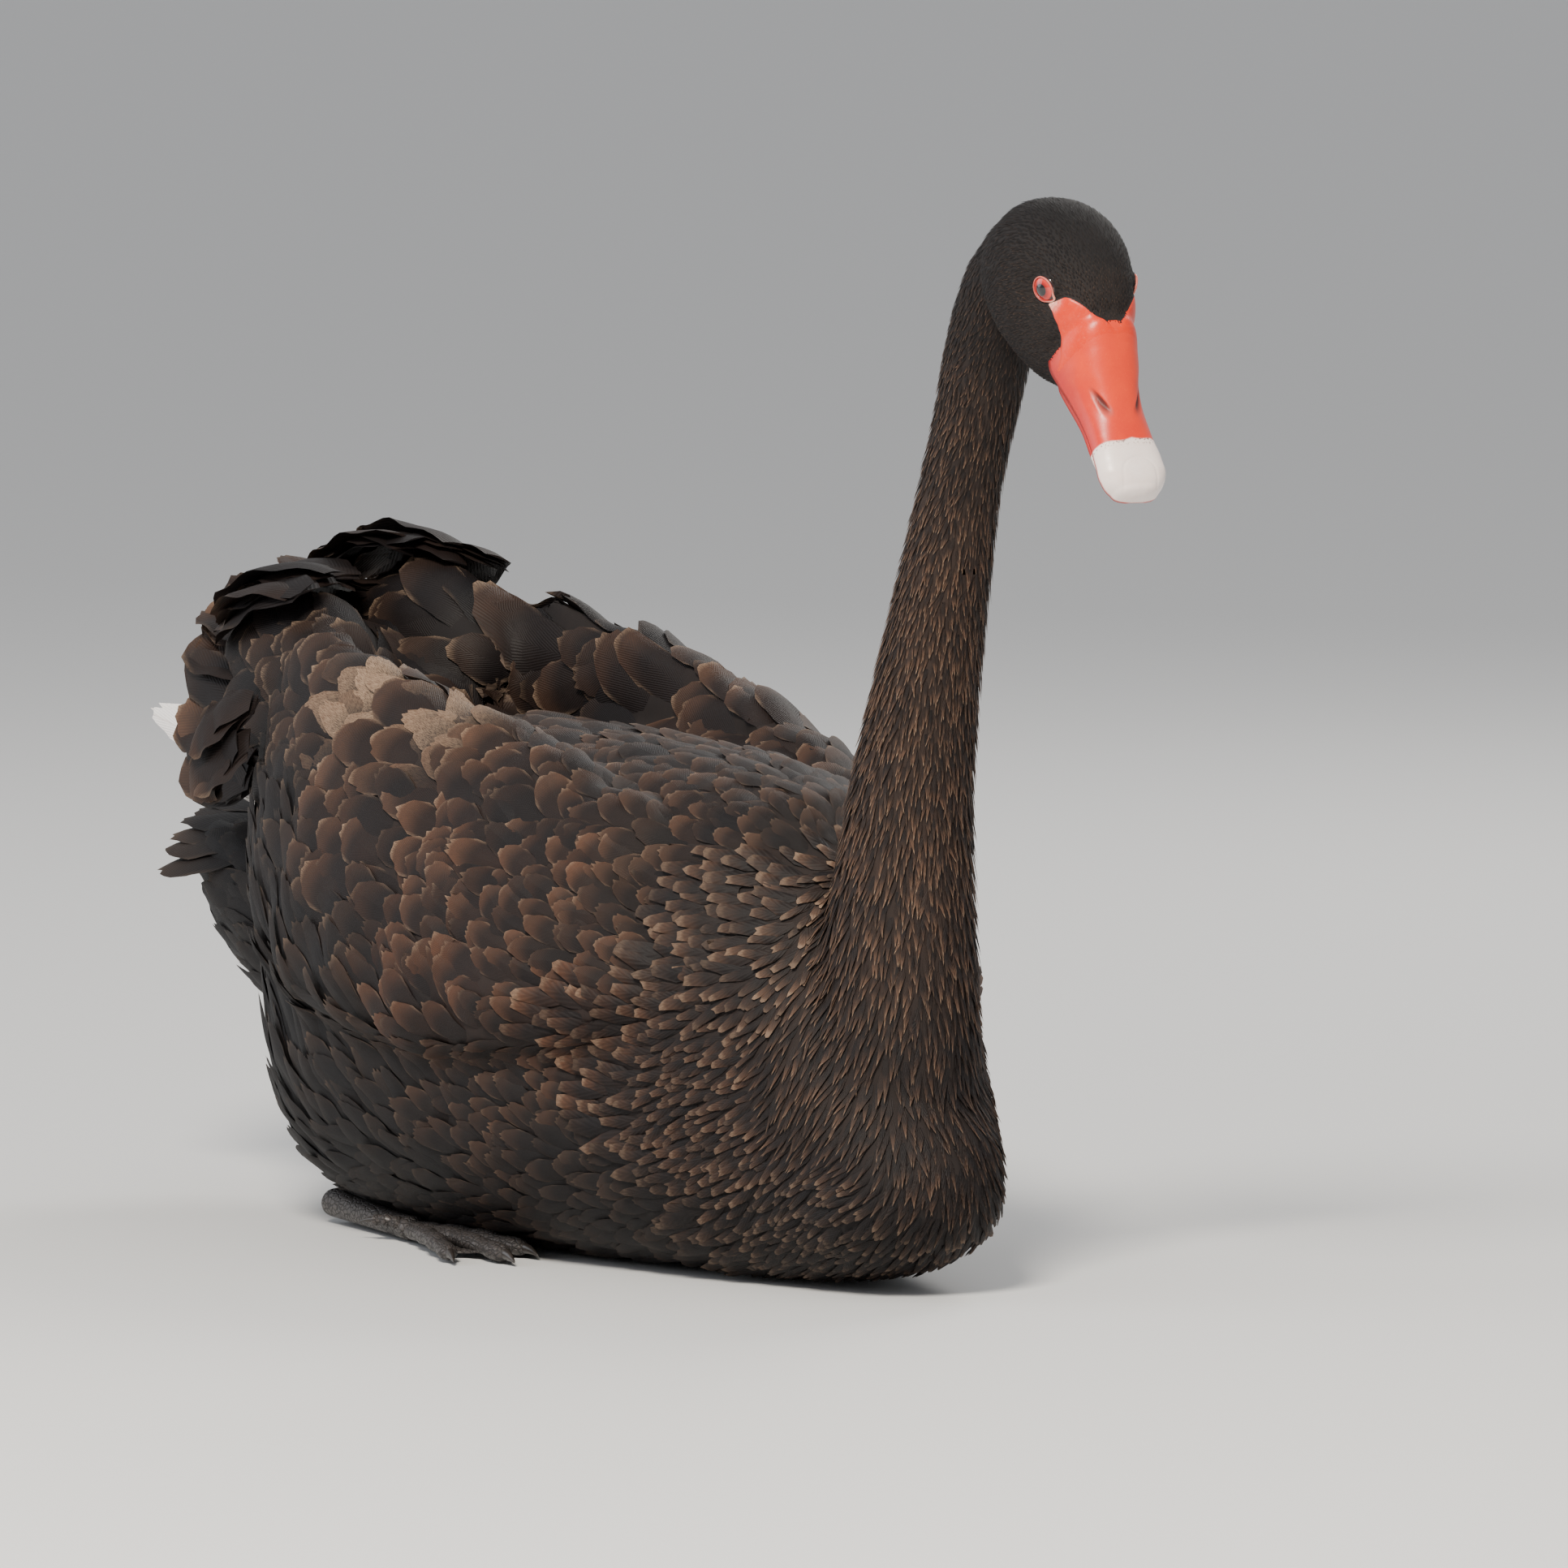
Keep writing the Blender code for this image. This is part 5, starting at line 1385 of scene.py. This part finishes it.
legs = {
    # heel and ankle as x, out, z with half width and half height
    "shank": ((-0.1500, 0.0660, 0.0085, 0.0062, 0.0060), (-0.1200, 0.0692, 0.0072, 0.0056, 0.0052),
              (-0.0850, 0.0730, 0.0060, 0.0052, 0.0046), (-0.0560, 0.0760, 0.0055, 0.0062, 0.0050)),
    "root": (-0.0620, 0.0755, 0.0050),
    # reach ahead, spread and half width
    "toes": ((0.078, -0.010, 0.0048), (0.094, 0.008, 0.0050), (0.080, 0.026, 0.0046)),
    "hind": (-0.0160, 0.0100, 0.0032),
    # share of a toe and its thickness there, with the joints
    "swell": ((0.0, 0.90), (0.12, 1.05), (0.26, 0.78), (0.36, 1.02), (0.50, 0.74), (0.62, 0.98),
              (0.76, 0.70), (0.86, 0.86), (0.96, 0.66), (1.0, 0.30)),
    "arch": 0.0016,  # of a toe
    "claw": 0.0095,
    "web": 0.84,
    "webThickness": 0.0011,
}


def limb(name, place, thickness, segments=28, rings=48):
    # a round form along place(share), as thick as thickness(share): half width and half height
    def surface(share, angle):
        middle, (wide, high) = np.array(place(share)), thickness(share)
        ahead = unit(np.array(place(min(share + 0.02, 1.0))) - np.array(place(max(share - 0.02, 0.0))))
        aside = unit(np.array((-ahead[1], ahead[0], 0.0)))
        closing = min(1.0, math.sin(math.pi * share) * 5) ** 0.6 if 0 < share < 1 else 0.0
        ring = aside * math.cos(angle) * wide + np.cross(ahead, aside) * math.sin(angle) * high
        return Vector(middle + ring * closing)

    return shapedBall(name, segments, rings, surface)


def makeLegs():
    look, horn = legMaterial(), clawMaterial()
    for side in sides:
        flip = np.array((1.0, side, 1.0))
        shank = [(k / 3, *row) for k, row in enumerate(legs["shank"])]

        def shankPlace(t):
            return throughRows(shank, t)[:3] * flip

        forms = [limb("shank", shankPlace, lambda t: throughRows(shank, t)[3:])]
        arch = np.array((0.0, 0.0, legs["arch"]))
        root = np.array(legs["root"])
        claws = []
        for reach, spread, half in (*legs["toes"], legs["hind"]):
            tip = root + np.array((reach, spread, -0.0012 if reach > 0 else 0.003))

            def toePlace(t, tip=tip):
                return (root + (tip - root) * t + arch * math.sin(math.pi * t)) * flip

            def toeThick(t, half=half):
                swell = float(throughRows(legs["swell"], t)[0])
                return half * swell, min(half * swell * 0.85, 0.0037)

            forms.append(limb("toe", toePlace, toeThick))
            ahead = unit(tip - root)

            def clawPlace(t, tip=tip, ahead=ahead, half=half):
                drop = np.array((0, 0, 0.0004 - 0.0026 * t * t))
                return (tip + ahead * (t * legs["claw"] - 0.003) + drop) * flip

            def clawThick(t, half=half):
                return half * 0.42 * (1 - t) ** 0.7, half * 0.48 * (1 - t) ** 0.7

            claws.append(limb("claw", clawPlace, clawThick, 16, 24))
        for first, second in zip(legs["toes"], legs["toes"][1:]):
            bpy.ops.mesh.primitive_grid_add(x_subdivisions=30, y_subdivisions=36, size=2.0)
            web = bpy.context.object
            for vertex in web.data.vertices:
                u, v = vertex.co.x * 0.5 + 0.5, vertex.co.y * 0.5 + 0.5
                v *= legs["web"] - 0.12 * math.sin(math.pi * u)
                left = root + np.array((first[0], first[1], -0.0012)) * np.array((v, v, 1))
                right = root + np.array((second[0], second[1], -0.0012)) * np.array((v, v, 1))
                middle = left + (right - left) * u
                dip = math.sin(math.pi * u) * (0.0012 + 0.0004 * math.sin(v * 60 + u * 5))
                vertex.co = Vector((middle + np.array((0, 0, 0.0002 - dip))) * flip)
            applied(web, "SOLIDIFY", thickness=legs["webThickness"], offset=0.0)
            applied(web, "SUBSURF", levels=1)
            bpy.ops.object.shade_smooth()
            forms.append(web)
        finished(joined(forms, "foot_" + sideNames[side]), look, "foot", "leg_" + sideNames[side])
        finished(joined(claws, "claws_" + sideNames[side]), horn, "foot")


def legMaterial():
    material, inputs, place = newMaterial("feet", 0.5, Specular_IOR_Level=0.4)
    sockets = {"Vector": place.stretched(1.0, 1.4, 1.4), "Scale": 330.0}
    scales = place.node("ShaderNodeTexVoronoi", {"feature": "DISTANCE_TO_EDGE"}, sockets)
    cells = scales.step(0.02, 0.16)
    soft = place.noise(90.0, 4.0, 0.6)
    colour = (cells * 0.6 + soft * 0.5).mix((0.006, 0.005, 0.005), (0.045, 0.038, 0.036))
    relief = (cells + soft * 0.4).bump(0.0004, 0.8)
    feed(inputs, Base_Color=colour, Roughness=0.62 - cells * 0.2, Normal=relief)
    return material


def clawMaterial():
    material, inputs, place = newMaterial("claws", 0.3)
    grain = place.stretched(0.2, 1.0, 1.0).noise(900.0, 3.0, 0.6)
    colour = grain.mix((0.004, 0.004, 0.004), (0.040, 0.032, 0.028))
    feed(inputs, Base_Color=colour, Normal=grain.bump(0.0002, 0.4))
    return material


makeBill()
makeEyes()
makeLegs()
print("bill, eyes and feet made")
